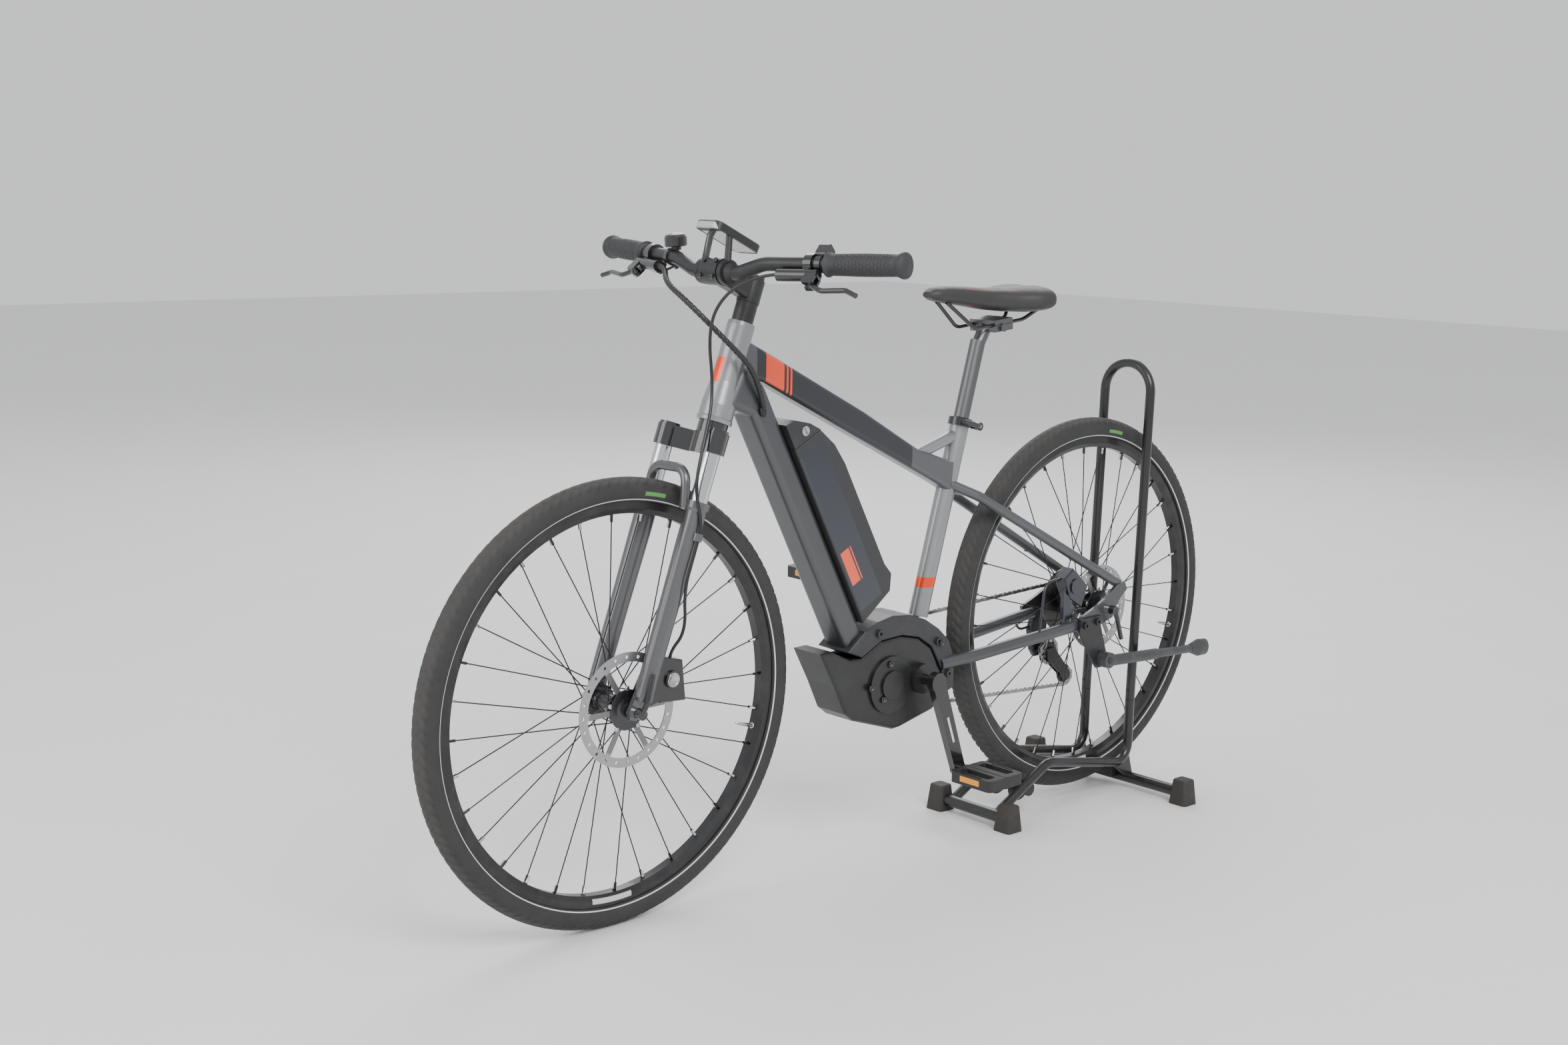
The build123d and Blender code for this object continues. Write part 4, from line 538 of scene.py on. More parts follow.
class BuildGrips(bpy.types.Operator):
    """Rubber grips with a brick pattern, flared at both ends."""

    bl_idname = "bike.grips"
    bl_label = "Grips"

    def execute(self, context):
        touch = sizes("bike_touch")
        parts = []
        for hand in (1, -1):
            centre, along, low, high = bar_end(hand)
            axis, side, up = square_to(along)
            length = high - low
            s = np.linspace(0, 1, 190)[:, None]
            turn = np.linspace(0, 2 * pi, 96, endpoint=False)[None, :]
            flare = 16.2 + 3.6 * np.exp(-(((s - 0.965) / 0.05) ** 2)) + 2.6 * np.exp(-((s / 0.035) ** 2))
            belly = 0.9 * np.sin(pi * s) ** 2
            row = np.floor(s * length / BRICK_ROW)
            brick = (turn * 7 / pi + (row % 2) * 0.5) % 1.0
            line = ((s * length / BRICK_ROW) % 1.0 < 0.22) | (brick < 0.12)
            field = (s > 0.12) & (s < 0.86)
            radius = (flare + belly) * MM - line * field * touch.grip_groove
            radius = radius * np.where(s > 0.992, 0.9, 1.0)
            place = centre + (low + s[..., None] * length) * axis
            grid = place + radius[..., None] * (np.cos(turn)[..., None] * side + np.sin(turn)[..., None]
                    * up)
            parts.append(surface(grid))
        grips = piece("ribbed_grips", parts, moulded("grip rubber", (0.028, 0.028, 0.03), 0.62, 900.0))
        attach(grips, "steering")
        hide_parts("grips")
        return {"FINISHED"}


# share of the saddle's length from tail to nose: half width, underside and top as shares of the CAD box
SADDLE_LINES = {
    "along": (0.0, 0.03, 0.09, 0.2, 0.33, 0.5, 0.68, 0.86, 0.95, 1.0),
    "half": (0.55, 0.8, 0.98, 0.93, 0.68, 0.46, 0.36, 0.3, 0.25, 0.13),
    "top": (0.82, 0.9, 0.96, 0.93, 0.88, 0.88, 0.95, 0.97, 0.93, 0.8),
    "under": (0.35, 0.18, 0.08, 0.05, 0.08, 0.16, 0.3, 0.42, 0.5, 0.62),
}


def saddle_grid(low, high):
    """Sections across the saddle: a super-ellipse of power 2.6 whose half width, top and underside follow
    smooth curves along the length, dished along the middle of the tail."""
    s = np.sin(np.linspace(-pi / 2, pi / 2, 90)) / 2 + 0.5
    curves = {}
    for name in ("half", "top", "under"):
        curves[name] = np.interp(s, SADDLE_LINES["along"], SADDLE_LINES[name])
        for _ in range(6):
            inner = (curves[name][:-2] + 2 * curves[name][1:-1] + curves[name][2:]) / 4
            curves[name][1:-1] = inner
    size = high - low
    turn = np.linspace(0, 2 * pi, 72, endpoint=False)[None, :]
    half = curves["half"][:, None] * size[1] / 2
    top = (low[2] + curves["top"] * size[2])[:, None]
    under = (low[2] + curves["under"] * size[2])[:, None]
    power = 2 / 2.6
    across = half * np.sign(np.cos(turn)) * np.abs(np.cos(turn)) ** power
    lift = np.sign(np.sin(turn)) * np.abs(np.sin(turn)) ** power
    middle = top * 0.45 + under * 0.55
    height = np.where(lift > 0, middle + (top - middle) * lift, middle + (middle - under) * lift)
    tail = np.exp(-(((s[:, None] - 0.15) / 0.18) ** 2))
    dish = 3.0 * MM * tail * np.exp(-((across / (14 * MM)) ** 2)) * (lift > 0)
    along = low[0] + s[:, None] * size[0] + across * 0
    return np.stack([along, across, height - dish], axis=-1)


def saddle_cover():
    """Matt cover with a fine leather grain, a stitched seam line and one slim red curve along each flank."""
    look = Look("saddle cover")
    low, high = corners("saddle")
    x, y, z = look.place()
    tail = (x - low[0]) / (high[0] - low[0])
    edge = 0.056 - tail.power(0.55) * 0.042
    line = (abs(y) - edge).inside(-0.0005, 0.0005, 0.0002) * tail.inside(0.06, 0.72, 0.02)
    seam = (abs(y) - edge * 0.78).inside(-0.0007, 0.0007, 0.0003) * tail.inside(0.04, 0.9, 0.02)
    side = (z - low[2]).above(0.02, 0.01)
    grain = look.cells(520.0)
    colour = look.mix(speckled(look, (0.022, 0.022, 0.023), 40.0, 0.2), (0.045, 0.044, 0.043),
            look.noise(12.0, 4.0) * 0.5)
    colour = look.mix(colour, (0.5, 0.02, 0.015), line * side)
    height = grain * 0.5 - seam * 2.0
    return look.finish(colour, look.noise(60.0, 3.0) * 0.14 + 0.46, 0.0, 0.0, look.bump(height, 0.00025))


class BuildSaddle(bpy.types.Operator):
    """Padded saddle with a dished tail and a slim nose."""

    bl_idname = "bike.saddle"
    bl_label = "Saddle"

    def execute(self, context):
        low, high = corners("saddle")
        cover = piece("saddle_shell_and_pad", [surface(saddle_grid(low, high))], saddle_cover())
        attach(cover, "saddle")
        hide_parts("saddle")
        return {"FINISHED"}


def smooth_line(points, samples):
    """Points read at even steps from a NURBS spline with the route's points as its control points."""
    curve = bpy.data.curves.new("route", "CURVE")
    curve.dimensions = "3D"
    curve.resolution_u = 24
    spline = curve.splines.new("NURBS")
    spline.points.add(len(points) - 1)
    spline.points.foreach_set("co", [number for point in points for number in (*point, 1.0)])
    spline.order_u = 3
    spline.use_endpoint_u = True
    holder = bpy.data.objects.new("route", curve)
    mesh = bpy.data.meshes.new_from_object(holder)
    flat = np.empty(len(mesh.vertices) * 3)
    mesh.vertices.foreach_get("co", flat)
    bpy.data.objects.remove(holder)
    path = flat.reshape(-1, 3)
    steps = np.append(0, np.cumsum(np.linalg.norm(np.diff(path, axis=0), axis=1)))
    even = np.linspace(0, steps[-1], samples)
    return np.stack([np.interp(even, steps, path[:, axis]) for axis in range(3)], axis=1), steps[-1]


def tube(points, radius, samples, around=14, pitch=None, ridge=0.0):
    """A tube along a smooth line; with a pitch, its radius rises along a helix as a spiral wrap does:
    radius + ridge * step(phase), where phase is distance / pitch minus the turn."""
    line, length = smooth_line(points, samples)
    tangent = np.gradient(line, axis=0)
    tangent /= np.linalg.norm(tangent, axis=1)[:, None]
    side = np.cross(tangent, (0.35, 0.1, 0.93))
    side /= np.linalg.norm(side, axis=1)[:, None]
    up = np.cross(tangent, side)
    turn = np.linspace(0, 2 * pi, around, endpoint=False)[None, :]
    reach = np.full((samples, around), radius)
    if pitch:
        phase = (np.linspace(0, length, samples)[:, None] / pitch - turn / (2 * pi)) % 1.0
        reach = radius - ridge + ridge * np.clip((0.86 - phase) / 0.08, 0, 1) * np.clip(phase / 0.08, 0, 1)
    grid = line[:, None, :] + reach[..., None] * (
        np.cos(turn)[..., None] * side[:, None, :] + np.sin(turn)[..., None] * up[:, None, :])
    return surface(grid)


def bike_point(x, y, z):
    """A point given in the bicycle's own plane in millimetres (x ahead of the rear axle, z above the line
    under both tyres), in the row frame."""
    rear, front = wheel_centre("rear"), wheel_centre("front")
    ahead = (front - rear) / np.linalg.norm(front - rear)
    above = np.array([-ahead[2], 0, ahead[0]])
    ground = rear - above * sizes("bike_tyres").radius
    return ground + (ahead * x + above * z) * MM + np.array([0, y, 0]) * MM


def joint_point(name, ahead, left, up):
    """A point given from a joint's axis in millimetres: ahead of it, to the left, and along it."""
    joint = JOINTS[name]
    axis = np.array(joint["axis"])
    forward = np.cross((0, 1, 0), axis)
    return np.array(joint["pos_m"]) + (forward * ahead + np.array([0, 1, 0]) * left + axis * up) * MM


EXIT_INBOARD = 64.05 * MM  # from a lever's pivot to where its hose leaves
EXIT_DROP = 17 * MM
HOSE_BESIDE_LEG = 79.8  # millimetres left of the wheel's plane


class BuildHoses(bpy.types.Operator):
    """The spiral-wrapped loom into the down tube and the front brake hose down the left leg."""

    bl_idname = "bike.hoses"
    bl_label = "Hoses"

    def execute(self, context):
        touch = sizes("bike_touch")
        perch = {}
        for hand, name in ((1, "brake_left_pull"), (-1, "brake_right_pull")):
            _, along, _, _ = bar_end(hand)
            down = np.cross(along, np.cross((0.7, 0, -0.7), along))
            down /= np.linalg.norm(down)
            pivot = np.array(JOINTS[name]["pos_m"])
            perch[hand] = (pivot - along * EXIT_INBOARD - down * EXIT_DROP, along)
        leave, along = perch[-1]
        across = ((952, -58, 990), (962, 4, 966), (912, 44, 902), (852, 46, 850), (828, 33, 792))
        route = [leave, leave - along * 26 * MM, *(bike_point(*spot) for spot in across)]
        loom = piece("wrapped_loom", [tube(route, touch.loom, 420, 16, touch.wrap, 0.7 * MM)],
                     moulded("spiral wrap", (0.014, 0.014, 0.015), 0.38, 600.0))
        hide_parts("hoses")
        tuple(bike_point(945, 10, 960))
        tuple(bike_point(836, 36, 806))
        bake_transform(loom)
        leave, along = perch[1]
        leg = HOSE_BESIDE_LEG
        bar = ((934, 72, 986), (944, 34, 930))
        fork = ((52, 44, 28), (64, 66, -46), (66, 76, -120), (34, leg, -168), (34, leg, -220),
                (34, leg, -272), (-3, leg - 13, -332))
        caliper = ((1030, 46, 432), (1026, 42, 418))
        route = [leave, leave - along * 24 * MM, *(bike_point(*spot) for spot in bar),
                 *(joint_point("steer", *spot) for spot in fork), *(bike_point(*spot) for spot in caliper)]
        hose = piece("front_brake_hose", [tube(route, touch.hose, 300, 12)],
                     moulded("hose cover", (0.012, 0.012, 0.012), 0.3, 500.0))
        tuple(joint_point("steer", 50, 50, 0))
        tuple(joint_point("steer", 34, leg, -175))
        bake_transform(hose)
        return {"FINISHED"}


# ---------------------------------------------------------------- chain


def pulley(name, teeth, way):
    """Centre, pitch radius and the way round of one toothed wheel the chain runs on."""
    centre = np.array(JOINTS[name]["pos_m"])
    return centre[[0, 2]], CHAIN_PITCH / (2 * sin(pi / teeth)), way


def leave_and_meet(first, second):
    """Tangent between two circles, each taken on its own side: the points where the chain leaves one and
    meets the other."""
    (c1, r1, w1), (c2, r2, w2) = first, second
    gap = c2 - c1
    distance = np.linalg.norm(gap)
    base = np.arctan2(gap[1], gap[0])
    lean = np.arcsin((r1 * w1 - r2 * w2) / distance)
    angle = base + lean
    normal = np.array([-sin(angle), cos(angle)])
    return c1 + normal * r1 * w1, c2 + normal * r2 * w2


def chain_line():
    """The closed pitch line: top run to the cog, down round both jockeys, and back under the ring."""
    ring = pulley("crank_turn", RING_TEETH, -1)
    cog = pulley("cassette_turn", COG_TEETH, -1)
    guide = pulley("guide_jockey_turn", JOCKEY_TEETH, 1)
    tension = pulley("tension_jockey_turn", JOCKEY_TEETH, -1)
    order = [ring, cog, guide, tension]
    spans = [leave_and_meet(order[i], order[(i + 1) % 4]) for i in range(4)]
    points = []
    for i in range(4):
        centre, radius, way = order[i]
        start = spans[i - 1][1] - centre
        end = spans[i][0] - centre
        a, b = np.arctan2(start[1], start[0]), np.arctan2(end[1], end[0])
        sweep = ((b - a) * -way) % (2 * pi)
        angles = a - way * np.linspace(0, sweep, 60)
        points.append(centre + radius * np.stack([np.cos(angles), np.sin(angles)], axis=1))
    loop = np.vstack(points)
    return np.vstack([loop, loop[:1]])


def plate_template(offset):
    """A link plate: a flat ring of ten points drawn in at the waist, given a thickness."""
    a = np.linspace(0, 2 * pi, 10, endpoint=False)
    x = np.cos(a) * PLATE_LENGTH
    z = np.sin(a) * PLATE_HEIGHT * (0.72 + 0.28 * np.abs(np.cos(a)))
    front = np.stack([x, np.full(10, offset), z], axis=1)
    back = front + np.array([0, PLATE_THICK, 0])
    return surface(np.stack([front, back]))


class BuildChain(bpy.types.Operator):
    """A roller chain: inner and outer plates in turn with a roller at each joint."""

    bl_idname = "bike.chain"
    bl_label = "Chain"

    def execute(self, context):
        low, high = corners("chain")
        line = chain_line()
        steps = np.append(0, np.cumsum(np.linalg.norm(np.diff(line, axis=0), axis=1)))
        count = 2 * int(round(steps[-1] / CHAIN_PITCH / 2))
        where = (np.arange(count) + 0.5) * steps[-1] / count
        centre = np.stack([np.interp(where, steps, line[:, axis]) for axis in range(2)], axis=1)
        ahead = np.roll(centre, -1, axis=0) - np.roll(centre, 1, axis=0)
        ahead /= np.linalg.norm(ahead, axis=1)[:, None]
        middle_y = (low[1] + high[1]) / 2
        profile = [(ROLLER_RADIUS, 0), (ROLLER_RADIUS, ROLLER_WIDTH)]
        roller = turned((CHAIN_PITCH / 2, -ROLLER_WIDTH / 2, 0), (0, 1, 0), profile, 8)
        links = []
        for spread in (INNER_PLATE, OUTER_PLATE):
            plates = [plate_template(way * spread - PLATE_THICK / 2) for way in (1, -1)]
            links.append([*plates, roller])
        parts = []
        for index in range(count):
            c, s = ahead[index]
            turn = np.array([[c, 0, s], [0, 1, 0], [-s, 0, c]])
            shift = np.array([centre[index][0], middle_y, centre[index][1]])
            for points, faces in links[index % 2]:
                parts.append((points @ turn + shift, faces))
        chain = piece("roller_chain", parts, metal("chain steel", (0.34, 0.335, 0.32), 0.34), smooth=False)
        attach(chain, "frame")
        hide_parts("chain")
        return {"FINISHED"}


# ---------------------------------------------------------------- finishes on the CAD nodes


DOWN_TUBE_FOOT = (633, 0, 366)
DOWN_TUBE_SLOPE = radians(62.8)


def down_tube_place(look):
    """Distance along the down tube and off it, in metres, for patterns on the tube and the battery."""
    foot = bike_point(*DOWN_TUBE_FOOT)
    along = bike_point(DOWN_TUBE_FOOT[0] + cos(DOWN_TUBE_SLOPE), 0, DOWN_TUBE_FOOT[2]
            + sin(DOWN_TUBE_SLOPE)) - foot
    along /= np.linalg.norm(along)
    off = np.array([-along[2], 0, along[0]])
    x, y, z = look.place()
    dx, dz = x - foot[0], z - foot[2]
    return dx * along[0] + dz * along[2], dx * off[0] + dz * off[2], y


def battery_case():
    """Gloss navy side panel in a charcoal rim, with one plain orange block."""
    look = Look("battery case")
    accent = tuple(sizes("bike_paint").accent)
    along, off, y = down_tube_place(look)
    side = abs(y).above(0.0365, 0.0006)
    panel = along.inside(0.05, 0.355, 0.0015) * off.inside(0.047, 0.104, 0.0015) * side
    block = (along.inside(0.1, 0.165, 0.0006) * off.inside(0.053, 0.073, 0.0006)
             + along.inside(0.1, 0.165, 0.0006) * off.inside(0.076, 0.0785, 0.0004)) * side
    scuff = look.noise(50.0, 6.0, 0.7).above(0.66, 0.04) * 0.2
    charcoal = speckled(look, (0.03, 0.03, 0.032), 50.0, 0.15)
    colour = look.mix(charcoal, (0.006, 0.009, 0.02), panel)
    colour = look.mix(colour, accent, block)
    colour = look.mix(colour, (0.2, 0.2, 0.2), scuff * 0.4)
    rough = 0.42 - panel * 0.32 + scuff * 0.3
    return look.finish(colour, rough, 0.0, panel * 0.8, look.bump(look.noise(900.0, 2.0) * (1 - panel)
            + panel * 2.0, 0.00008))


def top_tube_paint():
    """Metallic paint with a charcoal side panel, an orange block and two slim stripes."""
    look = Look("top tube paint")
    paint = sizes("bike_paint")
    grey, dark, accent = tuple(paint.frame), tuple(paint.panel), tuple(paint.accent)
    low, high = corners("top_tube")
    x, y, z = look.place()
    side = abs(y).above(0.0155, 0.0006)
    share = (x - low[0]) / (high[0] - low[0])
    line = (z - low[2]) - share * float(high[2] - low[2]) * 0.86
    panel = share.inside(0.22, 0.95, 0.003) * side
    block = share.inside(0.83, 0.91, 0.001) * side
    stripes = (share.inside(0.812, 0.82, 0.0006) + share.inside(0.795, 0.803, 0.0006)) * side
    top = (1 - side) * share.inside(0.62, 0.66, 0.002) * abs(y).inside(-0.1, 0.006, 0.0005)
    colour = look.mix(flaked(look, grey), dark, panel)
    colour = look.mix(colour, accent, block.most(stripes).most(top * line.above(0.0, 0.01)))
    return look.finish(colour, look.noise(40.0, 3.0) * 0.08 + 0.3, 0.55 - panel * 0.45, 0.3,
                       look.bump(look.noise(420.0, 1.0) + panel * 1.5, 0.00003))


def tube_paint(name, node, colour, blocks):
    """Metallic paint with plain blocks. Each block has its lowest and highest share of the tube's height,
    its half width across the bicycle, which way it looks (1 forward, -1 back, 0 both) and its colour."""
    look = Look(name)
    low, high = corners(node)
    x, y, z = look.place()
    middle = (low + high) / 2
    share = (z - low[2]) / (high[2] - low[2])
    slope = (x - middle[0]) + (z - middle[2]) * 0.33
    base = flaked(look, colour)
    for first, last, half, facing, tint in blocks:
        mask = share.inside(first, last, 0.001) * abs(y).inside(-0.1, half, 0.0004)
        if facing:
            mask = mask * (slope * facing).above(0.006, 0.0006)
        base = look.mix(base, tint, mask)
    return look.finish(base, look.noise(40.0, 3.0) * 0.1 + 0.27, 0.6, 0.25,
                       look.bump(look.noise(420.0, 1.0), 0.00002))


def rim_black(which):
    """Black anodised rim with faint dust and one plain white patch."""
    look = Look(f"rim {which}")
    _, dx, dz, radius = look.round_wheel(which)
    patch = dx.inside(-0.03, 0.045, 0.0008) * (0 - dz).above(0.2, 0.001) * radius.inside(0.303, 0.311,
            0.0008)
    dust = look.noise(30.0, 5.0).above(0.55, 0.15) * 0.2
    colour = look.mix(speckled(look, (0.014, 0.014, 0.015), 60.0, 0.15), (0.07, 0.068, 0.065), dust)
    colour = look.mix(colour, (0.7, 0.7, 0.7), patch * 0.9)
    return look.finish(colour, look.noise(90.0, 3.0) * 0.1 + 0.28, 0.3, 0.2,
            look.bump(look.noise(500.0, 2.0), 0.00003))


def brushed_disc(which):
    """Brake disc: steel ground round the wheel's axis, a shade darker where the pads do not run."""
    look = Look(f"disc {which}")
    _, _, _, radius = look.round_wheel(which)
    wear = radius.above(0.062 if which == "rear" else 0.072, 0.002)
    lines = (radius * 9000.0).maths("SINE", radius * 9000.0) * 0.5 + look.noise(300.0, 3.0)
    spider = radius.above(0.034, 0.0006)
    colour = look.mix((0.075, 0.075, 0.08), look.mix((0.2, 0.2, 0.2), (0.38, 0.38, 0.39), wear), spider)
    return look.finish(colour, 0.3 + lines * 0.06, 0.9, 0.0, look.bump(lines, 0.00002))


def display_face():
    """Display housing: dark glass on the top face with a silver front edge."""
    look = Look("display housing")
    low, high = corners("display")
    x, y, z = look.place()
    middle = (low + high) / 2
    share = (x - low[0]) / (high[0] - low[0])
    edge = share.above(0.955, 0.004) * z.above(middle[2], 0.004)
    glass = share.inside(0.1, 0.86, 0.004) * abs(y).inside(-0.1, 0.0235,
            0.0005) * z.above(middle[2] - 0.012, 0.004)
    colour = look.mix(speckled(look, (0.016, 0.016, 0.017), 50.0, 0.2), (0.05, 0.06, 0.058), glass)
    colour = look.mix(colour, (0.6, 0.6, 0.61), edge)
    return look.finish(colour, 0.42 - glass * 0.34 + look.noise(90.0, 3.0) * 0.05, edge * 0.9, glass,
                       look.bump(look.noise(900.0, 2.0) * (1 - glass), 0.00006))


def fork_finish():
    """Gloss black crown; below it the plated stanchions."""
    look = Look("fork crown")
    axis = np.array(JOINTS["steer"]["axis"])
    foot = np.array(JOINTS["steer"]["pos_m"])
    x, _, z = look.place()
    along = (x - foot[0]) * axis[0] + (z - foot[2]) * axis[2]
    plated = 1 - along.above(-0.0602, 0.0003)
    haze = look.noise(34.0, 5.0, 0.6)
    colour = look.mix(speckled(look, (0.012, 0.012, 0.013), 30.0, 0.2), (0.66, 0.67, 0.69), plated)
    return look.finish(colour, haze * 0.08 + 0.12 - plated * 0.05, plated * 0.98 + 0.02, 1 - plated)


def crank_finish():
    """Gloss black arms with a plain white stripe on the outside, and the steel-grey ring."""
    look = Look("crank finish")
    axle = np.array(JOINTS["crank_turn"]["pos_m"])
    pedal = np.array(JOINTS["pedal_left_turn"]["pos_m"])
    arm = (pedal - axle)[[0, 2]]
    arm /= np.linalg.norm(arm)
    x, y, z = look.place()
    dx, dz = x - axle[0], z - axle[2]
    along = dx * arm[0] + dz * arm[1]
    beside = dx * arm[1] - dz * arm[0]
    stripe = along.inside(0.07, 0.12, 0.0006) * abs(beside).inside(-0.1, 0.0022, 0.0003) * y.above(0.05,
            0.001)
    ring = (dx * dx + dz * dz).power(0.5).above(0.062, 0.0005) * y.inside(-0.0565, -0.047, 0.0003)
    colour = look.mix(speckled(look, (0.013, 0.013, 0.014), 30.0, 0.2), (0.75, 0.75, 0.74), stripe)
    colour = look.mix(colour, (0.2, 0.2, 0.2), ring)
    return look.finish(colour, look.noise(50.0, 4.0) * 0.12 + 0.14, ring * 0.8 + 0.1, 0.5)


def pedal_finish(side):
    """Black plastic body with an amber reflector in the front and back bars."""
    look = Look(f"pedal {side}")
    low, high = corners(f"pedal_{side}")
    x, y, z = look.place()
    middle = (low + high) / 2
    ends = abs(x - middle[0]).above(float(high[0] - low[0]) / 2 - 0.0012, 0.0004)
    amber = ends * abs(y - middle[1]).inside(-0.1, 0.022, 0.0005) * abs(z
            - middle[2]).inside(-0.1, 0.005, 0.0004)
    colour = look.mix(speckled(look, (0.016, 0.016, 0.016), 40.0, 0.2), (0.9, 0.33, 0.02), amber)
    return look.finish(colour, 0.5 - amber * 0.35, 0.0, 0.0, look.bump(look.noise(900.0, 2.0) + amber
            * look.cells(900.0), 0.00008))


class PaintFrame(bpy.types.Operator):
    """Finishes on every CAD node that stays in view."""

    bl_idname = "bike.finishes"
    bl_label = "Finishes"

    def execute(self, context):
        paint = sizes("bike_paint")
        grey = metallic_paint("frame paint", tuple(paint.frame))
        # The frame paint at 0.8 of its colour is painted shade: the down tube and chain stays, lower on the
        # bicycle, take this darker copy.
        dark = metallic_paint("dark frame paint", shade(paint.frame, 0.8))
        steel = black_steel("stand steel")
        plastic = moulded("black plastic", (0.016, 0.016, 0.016), 0.46)
        charcoal = moulded("charcoal cover", (0.026, 0.026, 0.028), 0.42)
        alloy = gloss_paint("black alloy", (0.012, 0.012, 0.013))
        satin = moulded("satin black alloy", (0.015, 0.015, 0.016), 0.4, 1600.0)
        finishes = {
            "stand_base": steel, "stand_hoop": steel, "stand_cups": plastic,
            "stand_feet": moulded("foot rubber", (0.03, 0.027, 0.024), 0.7, 400.0),
            "head_tube": tube_paint("head tube paint", "head_tube", tuple(paint.silver),
                                    [(0.44, 0.66, 0.009, 1, tuple(paint.accent))]),
            "seat_tube": tube_paint("seat tube paint", "seat_tube", tuple(paint.silver),
                                    [(0.16, 0.21, 0.1, 0, tuple(paint.accent))]),
            # down tube and chain stays: the frame paint darkened as painted shade
            "down_tube": dark,
            "top_tube": top_tube_paint(),
            "seat_stays": grey, "chain_stays": dark, "motor_bracket": charcoal,
            "drive_unit": moulded("motor cover", (0.014, 0.014, 0.015), 0.34),
            "seat_collar": alloy, "seat_collar_lever": alloy,
            "seatpost": metal("seatpost metal", (0.16, 0.16, 0.165), 0.36, (1.0, 1.0, 10.0)),
            "saddle_rails": gloss_paint("rail paint", (0.012, 0.012, 0.012)),
            "battery_mount": charcoal,
            "battery": battery_case(),
            "battery_lock": metal("lock metal", (0.6, 0.6, 0.6), 0.25),
            "kickstand_bracket": satin,
            "kickstand_leg": moulded("kickstand plastic", (0.04, 0.041, 0.043), 0.48),
            "rear_caliper": gloss_paint("blue-black caliper", (0.01, 0.013, 0.022), 0.22),
            "front_caliper": gloss_paint("black caliper", (0.011, 0.011, 0.012), 0.22),
            "derailleur": satin, "derailleur_cage": satin, "jockey_upper": plastic, "jockey_lower": plastic,
            "crankset": crank_finish(),
            "pedal_left": pedal_finish("left"),
            "pedal_right": pedal_finish("right"),
            "cassette": metal("cassette steel", (0.15, 0.148, 0.145), 0.4),
            "rear_axle": chrome("rear axle steel"),
            "front_axle": chrome("front axle steel"),
            "fork_crown": fork_finish(),
            "fork_lowers": metallic_paint("fork lowers paint", (0.12, 0.12, 0.125), 0.3),
            "front_skewer_lever": alloy, "rear_skewer_lever": alloy, "stem": satin, "handlebar": satin,
            "brake_perches": alloy, "brake_lever_left": alloy, "brake_lever_right": alloy,
            "bar_controls": gloss_paint("control covers", (0.012, 0.012, 0.013), 0.3),
            "mode_button": plastic, "shift_lever": plastic,
            "display": display_face(),
        }
        for which in ("front", "rear"):
            finishes[f"{which}_rim"] = rim_black(which)
            finishes[f"{which}_hub"] = gloss_paint(f"{which} hub anodising", (0.015, 0.015, 0.016), 0.2)
            finishes[f"{which}_spokes"] = metal(f"{which} spoke steel", (0.05, 0.05, 0.052), 0.35)
            finishes[f"{which}_rotor"] = brushed_disc(which)
        for node, material in finishes.items():
            mesh = frame["nodes"][node].data
            mesh.materials.clear()
            mesh.materials.append(material)
        return {"FINISHED"}


# ---------------------------------------------------------------- small trim


class BuildTrim(bpy.types.Operator):
    """Screws and caps on the frame, brakes, discs, cranks and stem."""

    bl_idname = "bike.trim"
    bl_label = "Trim"

    def execute(self, context):
        steel = metal("screw steel", (0.5, 0.5, 0.5), 0.28)
        black = gloss_paint("black screws", (0.01, 0.01, 0.01), 0.2)
        left = (0, 1, 0)

        def add(name, parts, material, body):
            made = piece(name, parts, material)
            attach(made, body)

        _, bracket_high = corners("motor_bracket")
        axle = np.array(JOINTS["crank_turn"]["pos_m"])
        spots = [(0.075, 0.035), (0.09, -0.025), (-0.05, 0.055), (0.12, 0.0)]
        parts = [bolt(axle + (dx, bracket_high[1] - axle[1] - 1 * MM, dz), left, 6 * MM, 4 * MM) for dx,
                dz in spots]
        add("bracket_screws", parts, black, "frame")
        for which in ("front", "rear"):
            centre = wheel_centre(which)
            face = np.array(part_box(f"{which}_rotor")[1])[1]
            parts = []
            for turn in np.arange(5) * 2 * pi / 5 + 0.3:
                spot = centre + np.array([cos(turn) * 0.034, face, sin(turn) * 0.034])
                parts.append(turned(spot, left, [(4 * MM, -0.4 * MM), (4 * MM, 0.8 * MM),
                        (2.4 * MM, 1.5 * MM), (0.1 * MM, 1.5 * MM)], 14))
            add(f"{which}_disc_rivets", parts, steel, f"{which}_wheel")
        _, caliper_high = corners("front_caliper")
        cap = np.array([bike_point(1028, 0, 390)[0], caliper_high[1], bike_point(1028, 0, 390)[2]])
        rim = [(11.5 * MM, -0.3 * MM), (11.5 * MM, 1 * MM), (10 * MM, 1.4 * MM), (9.5 * MM, 0.5 * MM),
                (0.2 * MM, 0.4 * MM)]
        add("front_caliper_cap_ring", [turned(cap, left, rim, 36)], steel, "lowers")
        bar = np.array(JOINTS["display_tilt"]["pos_m"])
        ahead, up = np.array([0.94, 0, 0.34]), np.array([-0.34, 0, 0.94])
        parts = []
        for y in (-14, 14):
            for z in (-13, 13):
                parts.append(bolt(bar + ahead * 17.5 * MM + up * z * MM + np.array([0, y * MM, 0]), ahead,
                        4 * MM, 3.5 * MM))
        add("stem_screws", parts, black, "steering")
        grommet = bike_point(826, 30, 788)
        add("loom_grommet", [turned(grommet, (-0.5, 1.0, 0.25), [(4.7 * MM, -3 * MM), (9 * MM, -3 * MM),
                (10 * MM, 0.5 * MM), (8 * MM, 2.4 * MM),
                                                             (4.7 * MM, 2.6 * MM)], 28)],
                                                             moulded("grommet rubber", (0.012, 0.012,
                                                             0.012), 0.55, 700.0),
            "frame")
        return {"FINISHED"}


# ---------------------------------------------------------------- stage


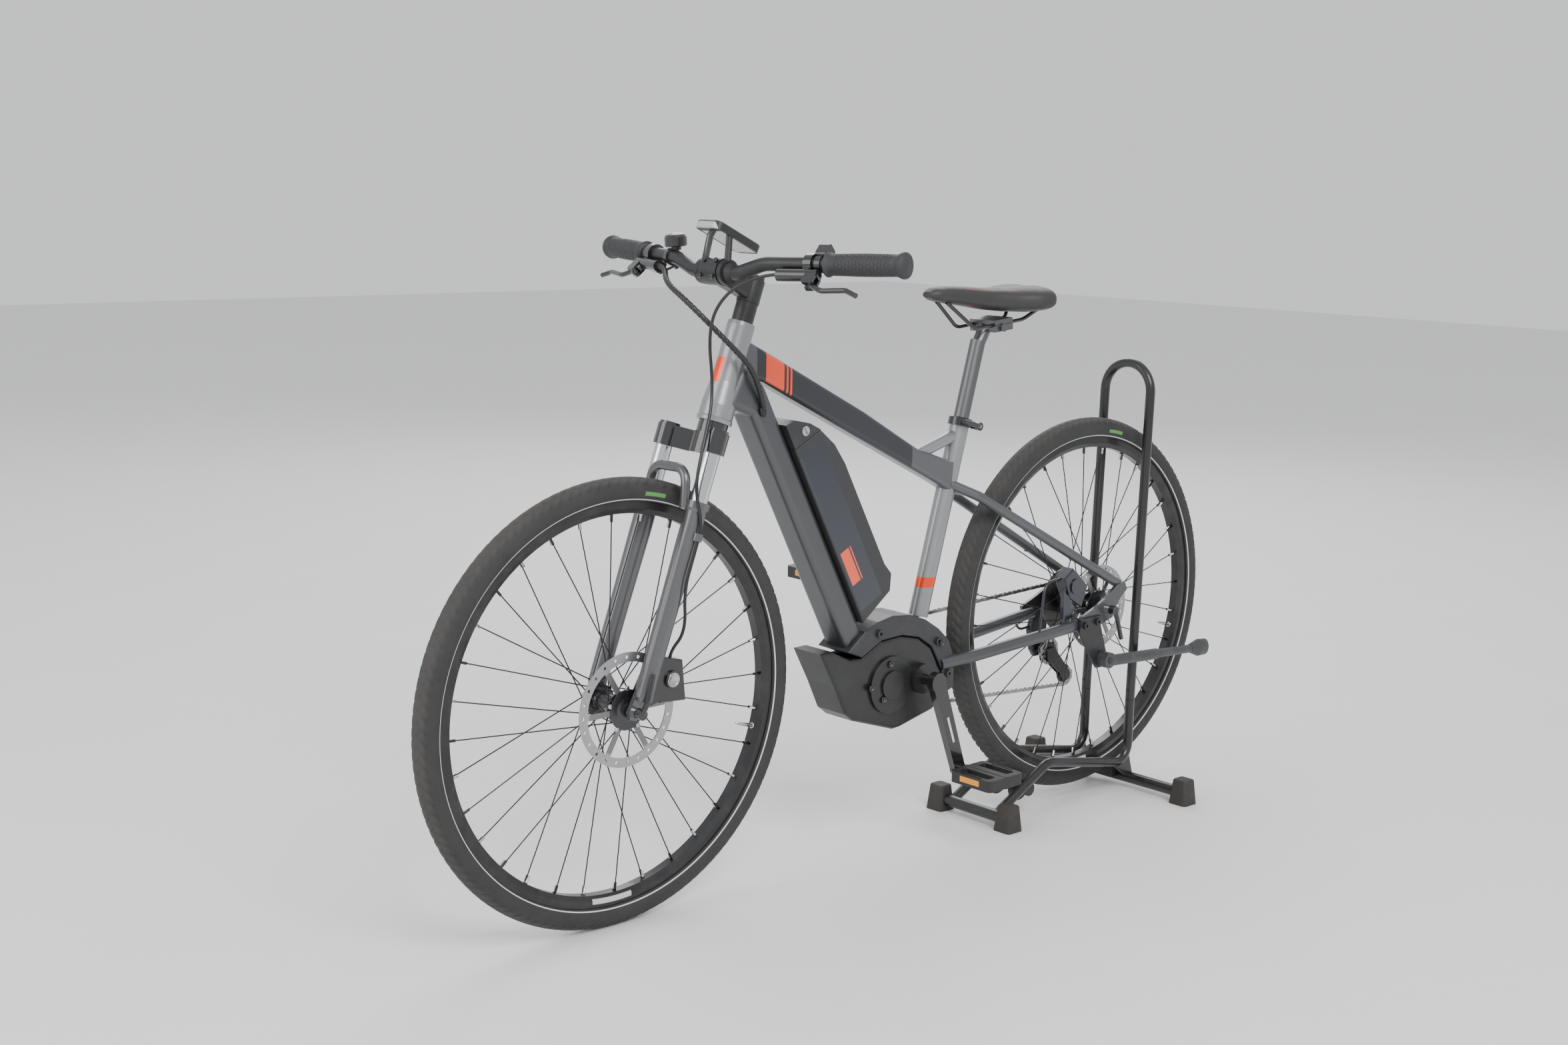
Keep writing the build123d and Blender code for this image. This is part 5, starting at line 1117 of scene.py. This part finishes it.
class BuildStage(bpy.types.Operator):
    """Pale floor, soft studio lights and the camera."""

    bl_idname = "bike.stage"
    bl_label = "Stage"

    def execute(self, context):
        look = Look("studio floor")
        base = tuple(sizes("bike_paint").floor)
        material = look.finish(look.mix(shade(base, 0.98), shade(base, 1.02), look.noise(3.0)), 0.75)
        mesh = bpy.data.meshes.new("floor")
        half = 14.0
        mesh.from_pydata([(-half, -half, 0), (half, -half, 0), (half, half, 0), (-half, half, 0)], [],
                [(0, 1, 2, 3)])
        mesh.materials.append(material)
        floor = bpy.data.objects.new("floor", mesh)
        context.scene.collection.objects.link(floor)
        world = bpy.data.worlds.new("studio")
        world.use_nodes = True
        world.node_tree.nodes["Background"].inputs[0].default_value = (0.86, 0.87, 0.89, 1.0)
        world.node_tree.nodes["Background"].inputs[1].default_value = 1.0
        context.scene.world = world
        for name, place, size, power in (("key", (1.5, 4.0, 4.2), 2.6, 230),
                                         ("fill", (4.5, -1.0, 2.6), 3.0, 90),
                                         ("back", (-3.0, -3.0, 3.5), 3.0, 110)):
            lamp = bpy.data.lights.new(name, "AREA")
            lamp.size = size
            lamp.energy = power
            holder = bpy.data.objects.new(name, lamp)
            holder.location = place
            holder.rotation_euler = (Vector((0, 0, 0.5)) - Vector(place)).to_track_quat("-Z", "Y").to_euler()
            context.scene.collection.objects.link(holder)
        view = sizes("bike_camera")
        camera = bpy.data.cameras.new("camera")
        camera.lens = view.lens
        camera.sensor_width = 36.0
        holder = bpy.data.objects.new("camera", camera)
        pitch = Matrix.Rotation(view.pitch, 4, "Y")
        aim = Matrix.Rotation(view.heading, 4, "Z") @ Matrix.Rotation(pi / 2 - view.height, 4, "X")
        holder.matrix_world = Matrix.Translation(view.place) @ pitch @ aim @ Matrix.Rotation(view.roll, 4,
                "Z")
        context.scene.collection.objects.link(holder)
        context.scene.camera = holder
        return {"FINISHED"}


class CameraView(bpy.types.PropertyGroup):
    place: bpy.props.FloatVectorProperty(name="Place", description="Camera position", subtype="TRANSLATION",
                                         default=(2.37724, 2.39021, 1.15749))
    heading: angle_setting("Heading", "Turn about the upright", 137.856)
    height: angle_setting("Height", "Look down by", 10.4187)
    roll: angle_setting("Roll", "Lean of the camera", 0.4227)
    pitch: angle_setting("Pitch", "Nose-down pitch of the bicycle", 0.985)
    lens: bpy.props.FloatProperty(name="Lens", description="Focal length in millimetres", default=46.22)


class BicyclePanel(bpy.types.Panel):
    """Lists the pieces of the bicycle."""

    bl_idname = "VIEW3D_PT_bicycle"
    bl_label = "Bicycle"
    bl_space_type = "VIEW_3D"
    bl_region_type = "UI"
    bl_category = "Bicycle"

    def draw(self, context):
        for operator in OPERATORS:
            self.layout.operator(operator.bl_idname)


GROUPS = {"bike_tyres": TyreSizes, "bike_touch": TouchSizes, "bike_paint": PaintColours,
        "bike_camera": CameraView}
OPERATORS = (PaintFrame, BuildWheels, BuildGrips, BuildSaddle, BuildHoses, BuildChain, BuildTrim, BuildStage)


def register():
    for group in (*GROUPS.values(), *OPERATORS, BicyclePanel):
        bpy.utils.register_class(group)
    for name, group in GROUPS.items():
        setattr(bpy.types.Scene, name, bpy.props.PointerProperty(type=group))


def unregister():
    for name in GROUPS:
        delattr(bpy.types.Scene, name)
    for group in (BicyclePanel, *reversed(OPERATORS), *reversed(GROUPS.values())):
        bpy.utils.unregister_class(group)


def main():
    register()
    bpy.ops.bike.finishes()
    bpy.ops.bike.wheels()
    bpy.ops.bike.grips()
    bpy.ops.bike.saddle()
    bpy.ops.bike.hoses()
    bpy.ops.bike.chain()
    bpy.ops.bike.trim()
    bpy.ops.bike.stage()


if __name__ == "__main__":
    main()
